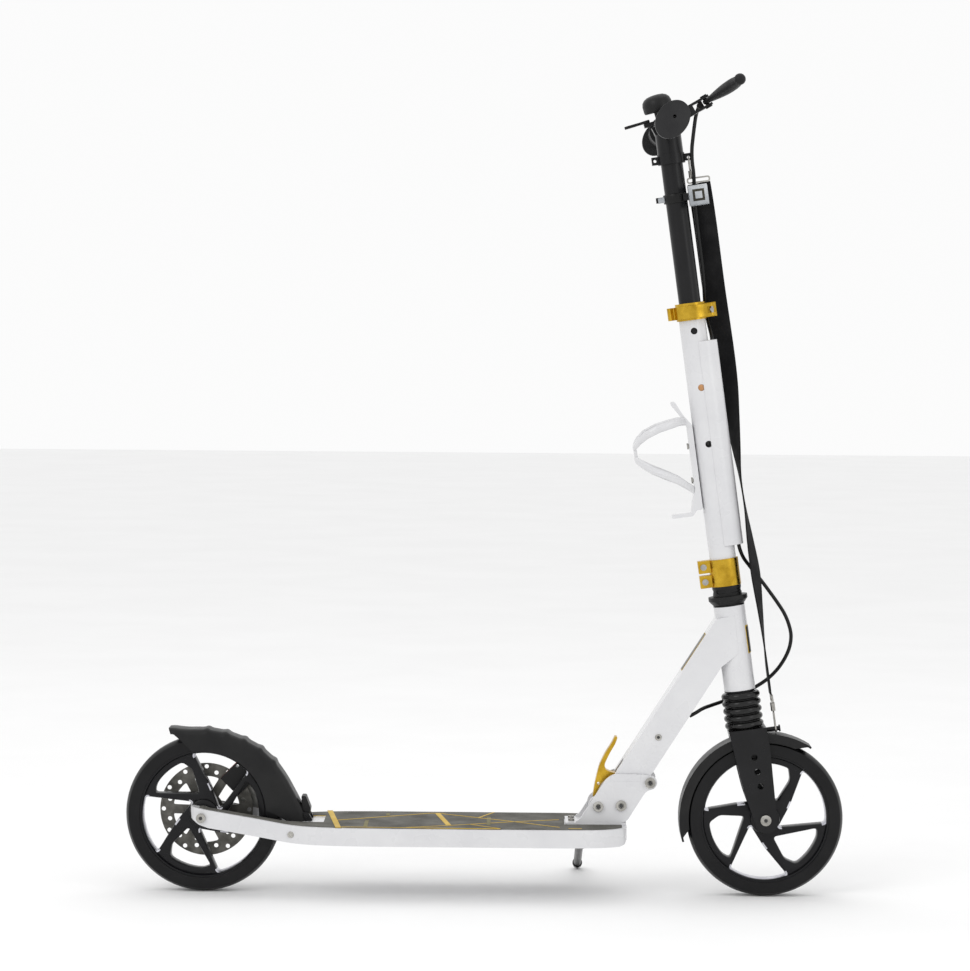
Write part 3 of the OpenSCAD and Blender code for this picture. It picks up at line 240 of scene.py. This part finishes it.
def addPiece(name, shape, finish, body, sharp=32, rounded=0.0, segments=2):
    data = bpy.data.meshes.new(name)
    shape.normal_update()
    for edge in shape.edges:
        edge.smooth = not (len(edge.link_faces) == 2 and edge.calc_face_angle(0) > math.radians(sharp))
    for face in shape.faces:
        face.smooth = True
    shape.to_mesh(data)
    shape.free()
    for each in finish if isinstance(finish, (list, tuple)) else [finish]:
        data.materials.append(finishes[each])
    piece = bpy.data.objects.new(name, data)
    bpy.context.collection.objects.link(piece)
    if rounded:
        edge = piece.modifiers.new("edge", "BEVEL")
        edge.width = rounded / 1000
        edge.segments = segments
        edge.limit_method = "ANGLE"
        edge.angle_limit = math.radians(sharp)
        edge.harden_normals = True
        edge.use_clamp_overlap = True
        edge.miter_outer = "MITER_ARC"
    if body:
        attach(piece, body)
    return piece


def standsFor(piece, *names):
    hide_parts(*names)


def joined(points, steps=6):
    made = []
    for k in range(len(points) - 1):
        a, b, c, d = (Vector(points[max(0, min(len(points) - 1, k + j))]) for j in (-1, 0, 1, 2))
        for i in range(steps):
            t = i / steps
            made.append(((b * 2) + (c - a) * t + (a * 2 - b * 5 + c * 4 - d) * t * t
                         + (b * 3 - a - c * 3 + d) * t * t * t) / 2)
    return made + [Vector(points[-1])]


# A solid round or flat bar: rings of points, each a centre with two half-width vectors
def ringBar(rings, count=24, power=2.0):
    shape = bmesh.new()
    loops = []
    for centre, u, v in rings:
        loop = []
        for k in range(count):
            t = 2 * math.pi * k / count
            c, d = math.cos(t), math.sin(t)
            loop.append(shape.verts.new(Vector(centre) + Vector(u) * math.copysign(abs(c) ** (2 / power), c)
                                        + Vector(v) * math.copysign(abs(d) ** (2 / power), d)))
        loops.append(loop)
    for a, b in zip(loops, loops[1:]):
        for k in range(count):
            shape.faces.new((a[k], a[(k + 1) % count], b[(k + 1) % count], b[k]))
    shape.faces.new(loops[0][::-1])
    shape.faces.new(loops[-1])
    bmesh.ops.recalc_face_normals(shape, faces=shape.faces)
    return shape


# A flat outline in the XZ plane, given its thickness along Y
def slab(outline, low, high):
    shape = bmesh.new()
    face = shape.faces.new([shape.verts.new((x, low, z)) for x, z in outline])
    moved = bmesh.ops.extrude_face_region(shape, geom=[face])["geom"]
    bmesh.ops.translate(shape, vec=(0, high - low, 0), verts=[v for v in moved if isinstance(v, bmesh.types.BMVert)])
    bmesh.ops.recalc_face_normals(shape, faces=shape.faces)
    return shape


def millimetres(points, place=None):
    place = place or Matrix.Identity(4)
    return [place @ (Vector(point[:3]) / 1000) for point in points]


# Cables and the strap
routes = {
    "rear_cable": [[150, 10, 85.3], [120, 12, 85.3], [60, 14, 85.3], [0, 16, 85.3], [-60, 18, 85.3], [-120, 20, 85.3],
                   [-170, 25, 85.3], [-186, 28, 85.3], [-200, 30.5, 85.3], [-210, 31, 86.8], [-220, 31, 91],
                   [-230, 31, 97], [-241, 31, 105], [-252, 31, 113], [-264, 31, 120], [-277, 31, 126],
                   [-290, 31, 130], [-302.6, 31, 132]],
    "front_cable": [[22.5, 0, 240], [22.5, 0, 225], [22.5, 0, 210], [22.5, 0, 196], [22.5, 1, 184], [24, 3, 175],
                    [27, 8, 166], [32, 14, 157], [38, 18, 147], [46, 20, 134], [55, 20, 118], [63, 19, 103],
                    [70, 18, 88], [74, 17, 73], [75, 17, 58], [71, 18, 43], [63, 21, 29], [52, 25, 16], [38, 28, 5],
                    [22, 29, -3], [6, 29, -9], [-10, 28, -13], [-24, 25, -16], [-37, 20, -18], [-49, 14, -20],
                    [-60, 9, -24], [-68, 9, -27]],
    "upper_cable": [[40.6, -62.6, 741.8], [40.6, -54, 741.8], [39, -43, 739], [36, -32, 731], [33, -24, 719],
                    [30, -18, 706], [27, -14, 692], [25.5, -11, 677], [25.5, -8.6, 663], [25, -6.2, 653],
                    [24, -3.8, 643], [23, -3, 632], [22.5, -2, 618], [22, 0, 595], [22, 2, 570], [22, 5, 545],
                    [21.5, 9, 523], [20.5, 14, 506], [20, 17.5, 494], [20, 17.5, 482], [21, 13.5, 470], [22, 7, 459],
                    [22.5, 2, 450], [22.5, 0, 440], [22.5, 0, 420], [22.5, 0, 395], [22.5, 0, 370], [22.5, 0, 345]],
    "carry_strap": [[31, 0.6, 648.6, 0], [32, 4, 628, 0], [33, 10, 590, 5], [33.5, 17, 550, 8], [34, 22, 510, 10],
                    [35, 24, 470, 14], [36, 24, 430, 22], [36.5, 20, 390, 36], [36, 13, 350, 55], [35.5, 6, 310, 72],
                    [35.5, 2, 270, 90], [36.5, 0, 230, 96], [37.5, 0, 190, 108], [39, 0, 145, 116], [39, 0, 100, 106],
                    [38.5, 0, 60, 96], [38, 0, 25, 90], [38, 0, -10.6, 90]],
}


def tubeAlong(points, radius):
    rings, side = [], None
    for k, point in enumerate(points):
        along = (points[min(k + 1, len(points) - 1)] - points[max(k - 1, 0)]).normalized()
        side = along.orthogonal() if side is None else side - along * side.dot(along)
        side.normalize()
        rings.append((point, side * radius, along.cross(side) * radius))
    return ringBar(rings, 16)


def cable(name, place, body=None, radius=0.0024):
    points = joined(millimetres(routes[name], place), 5)
    piece = addPiece(name + "Fine", tubeAlong(points, radius), "cable", body, sharp=60)
    standsFor(piece, name)
    return piece


cable("rear_cable", Matrix.Identity(4), "deck")
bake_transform(cable("front_cable", column))
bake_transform(cable("upper_cable", column))

strap = {"width": 0.0295, "thickness": 0.0022}
middle = joined(millimetres(routes["carry_strap"], column))
turns = [v.x for v in joined([(point[3], 0, 0) for point in routes["carry_strap"]])]
rings = []
for k, point in enumerate(middle):
    along = (middle[min(k + 1, len(middle) - 1)] - middle[max(k - 1, 0)]).normalized()
    across = column.to_3x3() @ Vector((math.cos(math.radians(turns[k])), -math.sin(math.radians(turns[k])), 0))
    across = (across - along * across.dot(along)).normalized()
    rings.append((point, across * strap["width"] / 2, along.cross(across) * strap["thickness"] / 2))
band = addPiece("carryStrapFine", ringBar(rings, 28, 5), "webbing", None, sharp=60)
standsFor(band, "carry_strap")
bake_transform(band)
for name, finish in (("bellows", "bellows"), ("fork_spring", "steel")):
    piece = addPiece(name + "Fine", copyOf(name), finish, None, sharp=60)
    standsFor(piece, name)
    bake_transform(piece)
print("cords made")

# Grip tape print, thin strips along straight runs: width in mm, finish, points on the deck
printed = {"top": 0.0934, "step": 0.00002, "levels": 4, "depth": 0.0007, "overrun": 0.2}
prints = [
    (7, "printGold", [(-202, 69), (-184, -69)]), (6.5, "printGold", [(-61, 54), (-45, -42)]),
    (1.8, "printGold", [(-190, -12), (-110, 32), (-70, 54), (-53, 54)]),
    (1.8, "printGold", [(-53, 49), (39, -11), (96, -54)]),
    (1.8, "printGold", [(-98, -66), (-40, -45), (39, -11), (96, 9)]),
    (1.8, "printGold", [(-222, 24), (-205, 24)]), (2.4, "printGold", [(-7, 20), (12, 66)]),
    (1.8, "printGold", [(-17, -37), (21, -69)]), (1.8, "printGold", [(108, -63), (124, -63)]),
    (5, "printOlive", [(-150, -12), (-150, -62)]), (5, "printOlive", [(6, 25), (6, -40)]),
    (5, "printOlive", [(-125, 48), (-125, 32)]), (1.6, "printGold", [(-180, -66), (20, -70)]),
]


def strip(points, width, high):
    shape = bmesh.new()
    for a, b in zip(points, points[1:]):
        a, b = Vector(a), Vector(b)
        along = (b - a).normalized() * width * printed["overrun"]
        side = Vector((-(b - a).y, (b - a).x)).normalized() * width / 2
        corners = [a - along - side, b + along - side, b + along + side, a - along + side]
        face = shape.faces.new([shape.verts.new((c.x / 1000, c.y / 1000, high)) for c in corners])
        moved = bmesh.ops.extrude_face_region(shape, geom=[face])["geom"]
        bmesh.ops.translate(shape, vec=(0, 0, -printed["depth"]),
                            verts=[v for v in moved if isinstance(v, bmesh.types.BMVert)])
    bmesh.ops.recalc_face_normals(shape, faces=shape.faces)
    return shape


for k, (width, finish, points) in enumerate(prints):
    high = printed["top"] + printed["step"] * (k % printed["levels"])
    line = addPiece("tapeLine%02d" % k, strip(points, width, high), finish, "deck")
print("deck print made")


# Wheels: a band, a hub and a web whose large windows have bright machined walls, sizes in mm
wheelSizes = {"window": 78, "rim": 82, "hub": 19, "bearing": 11, "bore": 6.5, "hubHalf": 16, "webHalf": 10,
              "chamfer": 2.4, "bandHalf": 13}
brightWalls = {"tilt": 0.97, "reach": 0.0792, "near": 0.0038}


def arcOf(radius, start, end, count):
    return [Vector((radius * math.cos(math.radians(start + (end - start) * k / count)),
                    radius * math.sin(math.radians(start + (end - start) * k / count)))) for k in range(count + 1)]


def soft(points, radius, count=7):
    made = []
    for k, b in enumerate(points):
        a, c = points[k - 1], points[(k + 1) % len(points)]
        reach = min(radius, (a - b).length * 0.45, (c - b).length * 0.45)
        p, q = b + (a - b).normalized() * reach, b + (c - b).normalized() * reach
        made += [p * (1 - t) ** 2 + b * 2 * t * (1 - t) + q * t * t for t in [j / (count - 1) for j in range(count)]]
    return made


def lathe(outline, centre, count=96):
    shape = bmesh.new()
    loops = []
    for k in range(count):
        t = 2 * math.pi * k / count
        loops.append([shape.verts.new(centre + Vector((r * math.cos(t), y, r * math.sin(t))) / 1000)
                      for r, y in outline])
    for k in range(count):
        a, b = loops[k], loops[(k + 1) % count]
        for j in range(len(outline)):
            shape.faces.new((a[j], a[(j + 1) % len(outline)], b[(j + 1) % len(outline)], b[j]))
    bmesh.ops.recalc_face_normals(shape, faces=shape.faces)
    return shape


smallWindow = soft([Vector((11, -24)), Vector((67, -12))] + arcOf(71, -19, -55, 5) + [Vector((26, -52))], 5)
largeWindow = soft([Vector((17, -11.5))] + arcOf(78, -4, 52, 7) + [Vector((32, 17))], 5)


def fineRim(name, hub, turn):
    size = wheelSizes
    flat = bpy.data.curves.new(name + "Web", "CURVE")
    flat.dimensions = "2D"
    flat.fill_mode = "BOTH"
    chamfer = size["chamfer"] / 1000
    flat.extrude = size["webHalf"] / 1000 - chamfer
    flat.bevel_depth = chamfer
    flat.bevel_resolution = 1
    flat.offset = -chamfer
    large = []
    outlines = [(arcOf(size["window"] + 3, 0, 357, 119), False)]
    for k in range(3):
        for window, bright in ((smallWindow, False), (largeWindow, True)):
            spin = Matrix.Rotation(math.radians(120 * k + turn), 2)
            outlines.append(([spin @ p for p in window], bright))
    for points, bright in outlines:
        spline = flat.splines.new("POLY")
        spline.points.add(len(points) - 1)
        spline.use_cyclic_u = True
        for at, p in zip(spline.points, points):
            at.co = (p.x / 1000, p.y / 1000, 0, 1)
        if bright:
            large += [p / 1000 for p in points]
    made = bpy.data.objects.new(name + "Web", flat)
    bpy.context.collection.objects.link(made)
    shape = bmesh.new()
    shape.from_mesh(made.to_mesh())
    bpy.data.objects.remove(made)
    bmesh.ops.remove_doubles(shape, verts=shape.verts, dist=1e-6)
    shape.normal_update()
    for face in shape.faces:
        centre = face.calc_center_median()
        if abs(face.normal.z) < brightWalls["tilt"] and centre.xy.length < brightWalls["reach"]:
            if min((centre.xy - p).length for p in large) < brightWalls["near"]:
                face.material_index = 1
    upright = Matrix.Translation(hub) @ Matrix.Rotation(math.radians(90), 4, "X")
    bmesh.ops.transform(shape, matrix=upright, verts=shape.verts)
    bmesh.ops.recalc_face_normals(shape, faces=shape.faces)
    web = addPiece(name + "Web", shape, ["rim", "machined"], bodyOf(name), sharp=24)
    standsFor(web, name)
    b, w = size["bandHalf"], size["window"] + 0.5
    band = lathe([(w, -b + 2), (w + 1.2, -b), (size["rim"], -b), (size["rim"], b), (w + 1.2, b), (w, b - 2)], hub)
    addPiece(name + "Band", band, "rim", bodyOf(name))
    h, s = size["hubHalf"], size["hub"]
    hubOutline = [(size["bearing"], -h), (s - 2.2, -h), (s - 0.7, -h + 0.7), (s, -h + 2.2), (s, h - 2.2),
                  (s - 0.7, h - 0.7), (s - 2.2, h), (size["bearing"], h), (size["bearing"], h - 7),
                  (size["bore"], h - 7), (size["bore"], -h + 7), (size["bearing"], -h + 7)]
    addPiece(name + "Hub", lathe(hubOutline, hub), "rim", bodyOf(name))


fineRim("front_rim", frontHub, 0)
fineRim("rear_rim", rearHub, 48)
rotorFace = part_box("brake_rotor")[0][1] * 1000
carrier = lathe([(11.5, 16), (18, 16), (18, rotorFace), (11.5, rotorFace)], rearHub)
addPiece("rotorCarrier", carrier, "rim", "rear_wheel")


# Rear fender: a rounded shell with soft ribs, its arm and its barrel
shell = {"half": 0.0208, "thick": 0.0024, "ribs": (87.5, 74.5, 61.5, 49, 37), "rib": 0.002, "corner": 0.008,
         "ribWide": 2.1, "skirt": 0.0185, "leastDepth": 0.008}
tailCut = {"from": 99, "span": 13, "curve": 1.3, "rise": 0.0345}
noseCut = {"from": 4, "span": 9, "rise": 0.03}
line = [(112, 20.5), (103, 11.5), (95, 9.6), (87, 8.8), (74, 8.4), (61, 9), (49, 11.5), (37, 13.5), (26, 15.5),
        (14, 19.6), (5.6, 25.6), (0.7, 30), (-5, 31)]


def edgeOf(angle):
    for (a, e), (b, g) in zip(line, line[1:]):
        if angle >= b:
            t = (a - angle) / (a - b)
            return e + (g - e) * t
    return line[-1][1]


shape = bmesh.new()
sections = []
for k in range(118):
    angle = 112 - k
    smooth = sum(edgeOf(min(112, max(-5, angle + d))) for d in (-4, -2, 0, 2, 4)) / 5
    swell = sum(shell["rib"] * math.exp(-((angle - r) / shell["ribWide"]) ** 2) for r in shell["ribs"])
    rise = wheelRadius + smooth / 1000 + swell
    drop = wheelRadius - shell["skirt"]
    if angle > tailCut["from"]:
        drop += ((angle - tailCut["from"]) / tailCut["span"]) ** tailCut["curve"] * tailCut["rise"]
    if angle < noseCut["from"]:
        drop += (noseCut["from"] - angle) / noseCut["span"] * noseCut["rise"]
    drop = min(drop, rise - shell["leastDepth"])
    c, w, t = shell["corner"], shell["half"] + 0.0004, shell["thick"]
    outer = [(-w, drop), (-w, (drop + rise - c) / 2)] + [
        (-w + c - c * math.cos(math.radians(q)), rise - c + c * math.sin(math.radians(q))) for q in range(0, 91, 18)]
    outer += [(-x, r) for x, r in reversed(outer)]
    ci = c - t
    inner = [(-w + t, drop), (-w + t, (drop + rise - c) / 2)] + [
        (-w + t + ci - ci * math.cos(math.radians(q)), rise - t - ci + ci * math.sin(math.radians(q)))
        for q in range(0, 91, 18)]
    inner += [(-x, r) for x, r in reversed(inner)]
    ring = outer + inner[::-1]
    d = Vector((math.cos(math.radians(angle)), 0, math.sin(math.radians(angle))))
    sections.append([shape.verts.new(rearHub + d * r + Vector((0, y, 0))) for y, r in ring])
count = len(sections[0])
for a, b in zip(sections, sections[1:]):
    for k in range(count):
        shape.faces.new((a[k], a[(k + 1) % count], b[(k + 1) % count], b[k]))
half = count // 2
for end in (sections[0], sections[-1]):
    for k in range(half - 1):
        shape.faces.new((end[k], end[k + 1], end[count - 2 - k], end[count - 1 - k]))
bmesh.ops.recalc_face_normals(shape, faces=shape.faces)
guard = addPiece("rearFenderShell", shape, "plastic", "rear_fender", sharp=50)
standsFor(guard, "rear_fender")
pin = Vector((-0.229, 0, 0.0985))
armOutline = [(-0.234, 0.0985), (-0.224, 0.0985), (-0.2225, 0.108), (-0.229, 0.124), (-0.2345, 0.124)]
arm = addPiece("rearFenderArm", slab(armOutline, -0.011, 0.011), "plastic", "rear_fender", rounded=1.2, segments=3)
barrel = addPiece("rearFenderBarrel", ringBar([(pin + Vector((0, -0.011, 0)), (0.005, 0, 0), (0, 0, 0.005)),
                                               (pin + Vector((0, 0.011, 0)), (0.005, 0, 0), (0, 0, 0.005))], 32),
                  "plastic", "rear_fender", rounded=0.5)

# Brake lever: a full rubber blade on its eye, with a ball at the end
leverPlace = column @ Matrix.Translation((0, 0, barHeight)) @ Matrix.Rotation(math.radians(8 - 30.5), 4, "Y")
blade = [(52, -82, 6.2, 3.6), (57, -88, 6.4, 3.6), (63, -98, 6.6, 5), (71, -112, 7.4, 6.6), (79, -127, 8, 7.6),
         (86, -142, 7.6, 7.6), (91, -156, 6.2, 6.6), (93.5, -167, 5, 5.4), (93.6, -176, 4.4, 4.6)]
path = joined([(x, y, 0) for x, y, w, t in blade], 4)
sizes = joined([(w, t, 0) for x, y, w, t in blade], 4)
rings = []
for k, point in enumerate(path):
    along = (path[min(k + 1, len(path) - 1)] - path[max(k - 1, 0)]).normalized()
    side = Vector((-along.y, along.x, 0))
    rings.append((leverPlace @ (point / 1000), leverPlace.to_3x3() @ side * sizes[k].x / 1000,
                  leverPlace.to_3x3() @ Vector((0, 0, sizes[k].y / 1000))))
lever = addPiece("brakeLeverBlade", ringBar(rings, 28, 2.3), "grip", "brake_lever", sharp=60)
standsFor(lever, "brake_lever")
ball = bmesh.new()
bmesh.ops.create_uvsphere(ball, u_segments=32, v_segments=20, radius=0.0071)
bmesh.ops.transform(ball, matrix=leverPlace @ Matrix.Translation((0.0927, -0.18, 0)), verts=ball.verts)
knob = addPiece("brakeLeverBall", ball, "grip", "brake_lever", sharp=70)


# Pieces with two finishes: the face test picks the second one
def twoTone(name, first, second, test, rounded, segments, sharp=32):
    shape = copyOf(name)
    for face in shape.faces:
        if test(column.inverted() @ face.calc_center_median(), face.calc_center_median()):
            face.material_index = 1
    piece = addPiece(name + "Fine", shape, [first, second], bodyOf(name), rounded=rounded, segments=segments,
                     sharp=sharp)
    standsFor(piece, name)


twoTone("lamp", "black", "lens", lambda local, point: local.x > 0.0148 and local.y < -0.007, 1.6, 4)
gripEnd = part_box("grips")[1][1]
gripDisc = {"face": 0.0001, "hole": 0.0005, "flange": 0.0092, "round": 0.017}


def onGripDisc(local, point):
    off = (local.xz - Vector((0, barHeight))).length
    return (off > gripDisc["hole"] and abs(point.y) > gripEnd - gripDisc["face"]
            or abs(point.y) > gripEnd - gripDisc["flange"] and off > gripDisc["round"])


def onPad(local, point):
    return 0.0275 < point.y < 0.036 and (point - rearHub).xz.length < 0.0645


twoTone("grips", "grip", "disc", onGripDisc, 1.4, 3)
twoTone("brake_caliper", "black", "pads", onPad, 0.6, 2)


# A short prism, for studs and for the dark discs of painted shade in the bolt sockets
def stud(name, at, along, radius, height, finish, body, sides=6, rounded=0.0):
    along = Vector(along).normalized()
    u = along.orthogonal().normalized() * radius
    v = along.cross(u.normalized()) * radius
    shape = ringBar([(Vector(at), u, v), (Vector(at) + along * height, u, v)], sides)
    return addPiece(name, shape, finish, body, rounded=rounded)


near = Vector((0, -1, 0))
# Dark discs on both ends of the bolts and axles: painted shade standing in for the hex socket recesses
for name, radius in (("fold_bolt", 0.0028), ("lock_bolt", 0.0028), ("knuckle_bolt", 0.0028), ("front_axle", 0.0026),
                     ("rear_axle", 0.0026)):
    low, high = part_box(name)
    for side in (-1, 1):
        at = Vector(((low[0] + high[0]) / 2, low[1] if side < 0 else high[1], (low[2] + high[2]) / 2))
        socketShadeDisc = stud("socket_%s_%s" % (name, "near" if side < 0 else "far"), at - Vector((0, side * 0.0006, 0)),
                      (0, side, 0), radius, 0.0007, "socket", bodyOf(name))


# Where a ray first meets a CAD node
def surfaceOf(name, start, along):
    tree = BVHTree.FromPolygons([v.co for v in frame["nodes"][name].data.vertices],
                                [p.vertices for p in frame["nodes"][name].data.polygons])
    hit, normal, index, far = tree.ray_cast(Vector(start), Vector(along).normalized())
    return hit


# Dark strip on the neck's back, with a gold hairline edge
back = Vector((-0.85, 0, 0.527))
low = surfaceOf("neck", Vector((0.2514, 0.001, 0.2894)) + back * 0.03, -back)
high = surfaceOf("neck", Vector((0.281, 0.001, 0.337)) + back * 0.03, -back)
if low and high:
    lift = (high - low).normalized()
    out = Vector((-lift.z, 0, lift.x))
    layers = ((0.0095, 0, 0.0004, "printGold"), (0.0088, 0.0008, 0.0007, "badge"))
    for k, (halfWide, trim, rise, finish) in enumerate(layers):
        a, b = low + lift * trim, high - lift * trim
        corners = [Vector((0, s * halfWide, 0)) for s in (-1, 1)]
        shape = bmesh.new()
        loops = []
        for end in (a, b):
            loops.append([shape.verts.new(end + c + out * h) for c, h in
                          ((corners[0], -0.0004), (corners[1], -0.0004), (corners[1], rise), (corners[0], rise))])
        for j in range(4):
            shape.faces.new((loops[0][j], loops[0][(j + 1) % 4], loops[1][(j + 1) % 4], loops[1][j]))
        shape.faces.new(loops[0][::-1])
        shape.faces.new(loops[1])
        bmesh.ops.recalc_face_normals(shape, faces=shape.faces)
        addPiece("neckStrip%d" % k, shape, finish, "neck")
bolt = surfaceOf("neck", (0.222, -0.2, 0.205), (0, 1, 0))
if bolt:
    stud("neckBolt", bolt + Vector((0, 0.0005, 0)), near, 0.0042, 0.0017, "steel", "neck", 32, 0.4)
    # A dark disc in the neck bolt's head: painted shade standing in for its socket recess
    stud("neckBoltSocketShade", bolt - Vector((0, 0.001, 0)), near, 0.0021, 0.0004, "socket", "neck")

# Head badge: a curved dark plate with a gold edge
plates = ((36, 0.046, 0.082, 0.0204, "printGold"), (33, 0.0475, 0.0805, 0.0208, "badge"))
for k, (spread, low, high, radius, finish) in enumerate(plates):
    shape = bmesh.new()
    loops = []
    for height in (low, high):
        loops.append([])
        for r, span in ((radius, 1), (0.0194, -1)):
            for j in range(19):
                q = math.radians(span * (spread - 4 * j * spread / 36))
                loops[-1].append(shape.verts.new(column @ Vector((r * math.cos(q), r * math.sin(q), height))))
    total = len(loops[0])
    for j in range(total):
        shape.faces.new((loops[0][j], loops[0][(j + 1) % total], loops[1][(j + 1) % total], loops[1][j]))
    for loop in loops:
        for j in range(18):
            shape.faces.new((loop[j], loop[j + 1], loop[total - 2 - j], loop[total - 1 - j]))
    bmesh.ops.recalc_face_normals(shape, faces=shape.faces)
    addPiece("headBadge%d" % k, shape, finish, "neck")

# Lamp details: a dark inner square, its band round the mast and a pale tail
lampParts = {"height": 0.633, "centre": 0.027, "bandRadius": 0.0154, "bandThick": 0.0012, "bandTall": 0.0058}
lampBox = Matrix.Translation((0, 0, lampParts["height"]))
for k, (size, y, thick, finish) in enumerate(((0.0075, -0.0321, 0.0008, "badge"), (0.0045, -0.0327, 0.0008, "lens"))):
    middle = lampParts["centre"]
    corners = [(middle - size, -size), (middle + size, -size), (middle + size, size), (middle - size, size)]
    shape = slab(corners, y - thick, y)
    bmesh.ops.transform(shape, matrix=column @ lampBox, verts=shape.verts)
    addPiece("lampCore%d" % k, shape, finish, "upper", rounded=0.6)
rings = []
for k in range(33):
    q = math.radians(40 + k * 280 / 32)
    r = lampParts["bandRadius"]
    spot = column @ Vector((r * math.cos(q), r * math.sin(q), lampParts["height"]))
    rings.append((spot, column.to_3x3() @ Vector((math.cos(q), math.sin(q), 0)) * lampParts["bandThick"],
                  column.to_3x3() @ Vector((0, 0, lampParts["bandTall"]))))
addPiece("lampBand", ringBar(rings, 16, 4), "cable", "upper", sharp=60)
tail = slab([(-0.0235, -0.004), (-0.0145, -0.0035), (-0.0145, 0.0035), (-0.0235, 0.003)], -0.006, -0.002)
bmesh.ops.transform(tail, matrix=column @ lampBox, verts=tail.verts)
addPiece("lampTail", tail, "lens", "upper", rounded=0.8)
print("wheels, fender, lever, badge and lamp made")

for name, (rounded, segments, finish) in kept.items():
    piece = addPiece(name + "Fine", copyOf(name), finish, bodyOf(name), rounded=rounded, segments=segments)
    standsFor(piece, name)
print("CAD pieces refined")

# Floor and light
stage = {"size": 14, "keyPower": 24, "fillPower": 10, "topPower": 12, "world": 0.97}
ground = bmesh.new()
bmesh.ops.create_grid(ground, x_segments=8, y_segments=8, size=stage["size"])
groundMesh = bpy.data.meshes.new("floor")
ground.to_mesh(groundMesh)
ground.free()
floor = bpy.data.objects.new("floor", groundMesh)
bpy.context.collection.objects.link(floor)
floorFinish = newFinish("floorPaper", (0.9, 0.9, 0.9), 0.9)
mottle(floorFinish, (0.89, 0.89, 0.89), (0.91, 0.91, 0.91), 0.85, 0.95, 3)
groundMesh.materials.append(floorFinish)
floor.location.z = -0.0005

world = bpy.data.worlds.new("studio")
world.use_nodes = True
world.node_tree.nodes["Background"].inputs["Color"].default_value = (1, 1, 1, 1)
world.node_tree.nodes["Background"].inputs["Strength"].default_value = stage["world"]
bpy.context.scene.world = world


def softbox(name, place, aim, size, power):
    lamp = bpy.data.lights.new(name, "AREA")
    lamp.shape = "RECTANGLE"
    lamp.size, lamp.size_y = size
    lamp.energy = power
    box = bpy.data.objects.new(name, lamp)
    bpy.context.collection.objects.link(box)
    box.location = place
    box.rotation_mode = "QUATERNION"
    box.rotation_quaternion = (Vector(aim) - Vector(place)).to_track_quat("-Z", "Y")


softbox("keyBox", (-2.0, -2.6, 2.6), (0, 0, 0.4), (1.6, 2.0), stage["keyPower"])
softbox("fillBox", (2.6, -2.2, 1.8), (0, 0, 0.5), (1.2, 2.4), stage["fillPower"])
softbox("topBox", (0, 0.6, 3.4), (0, 0, 0.3), (3, 2), stage["topPower"])
print("stage lit")
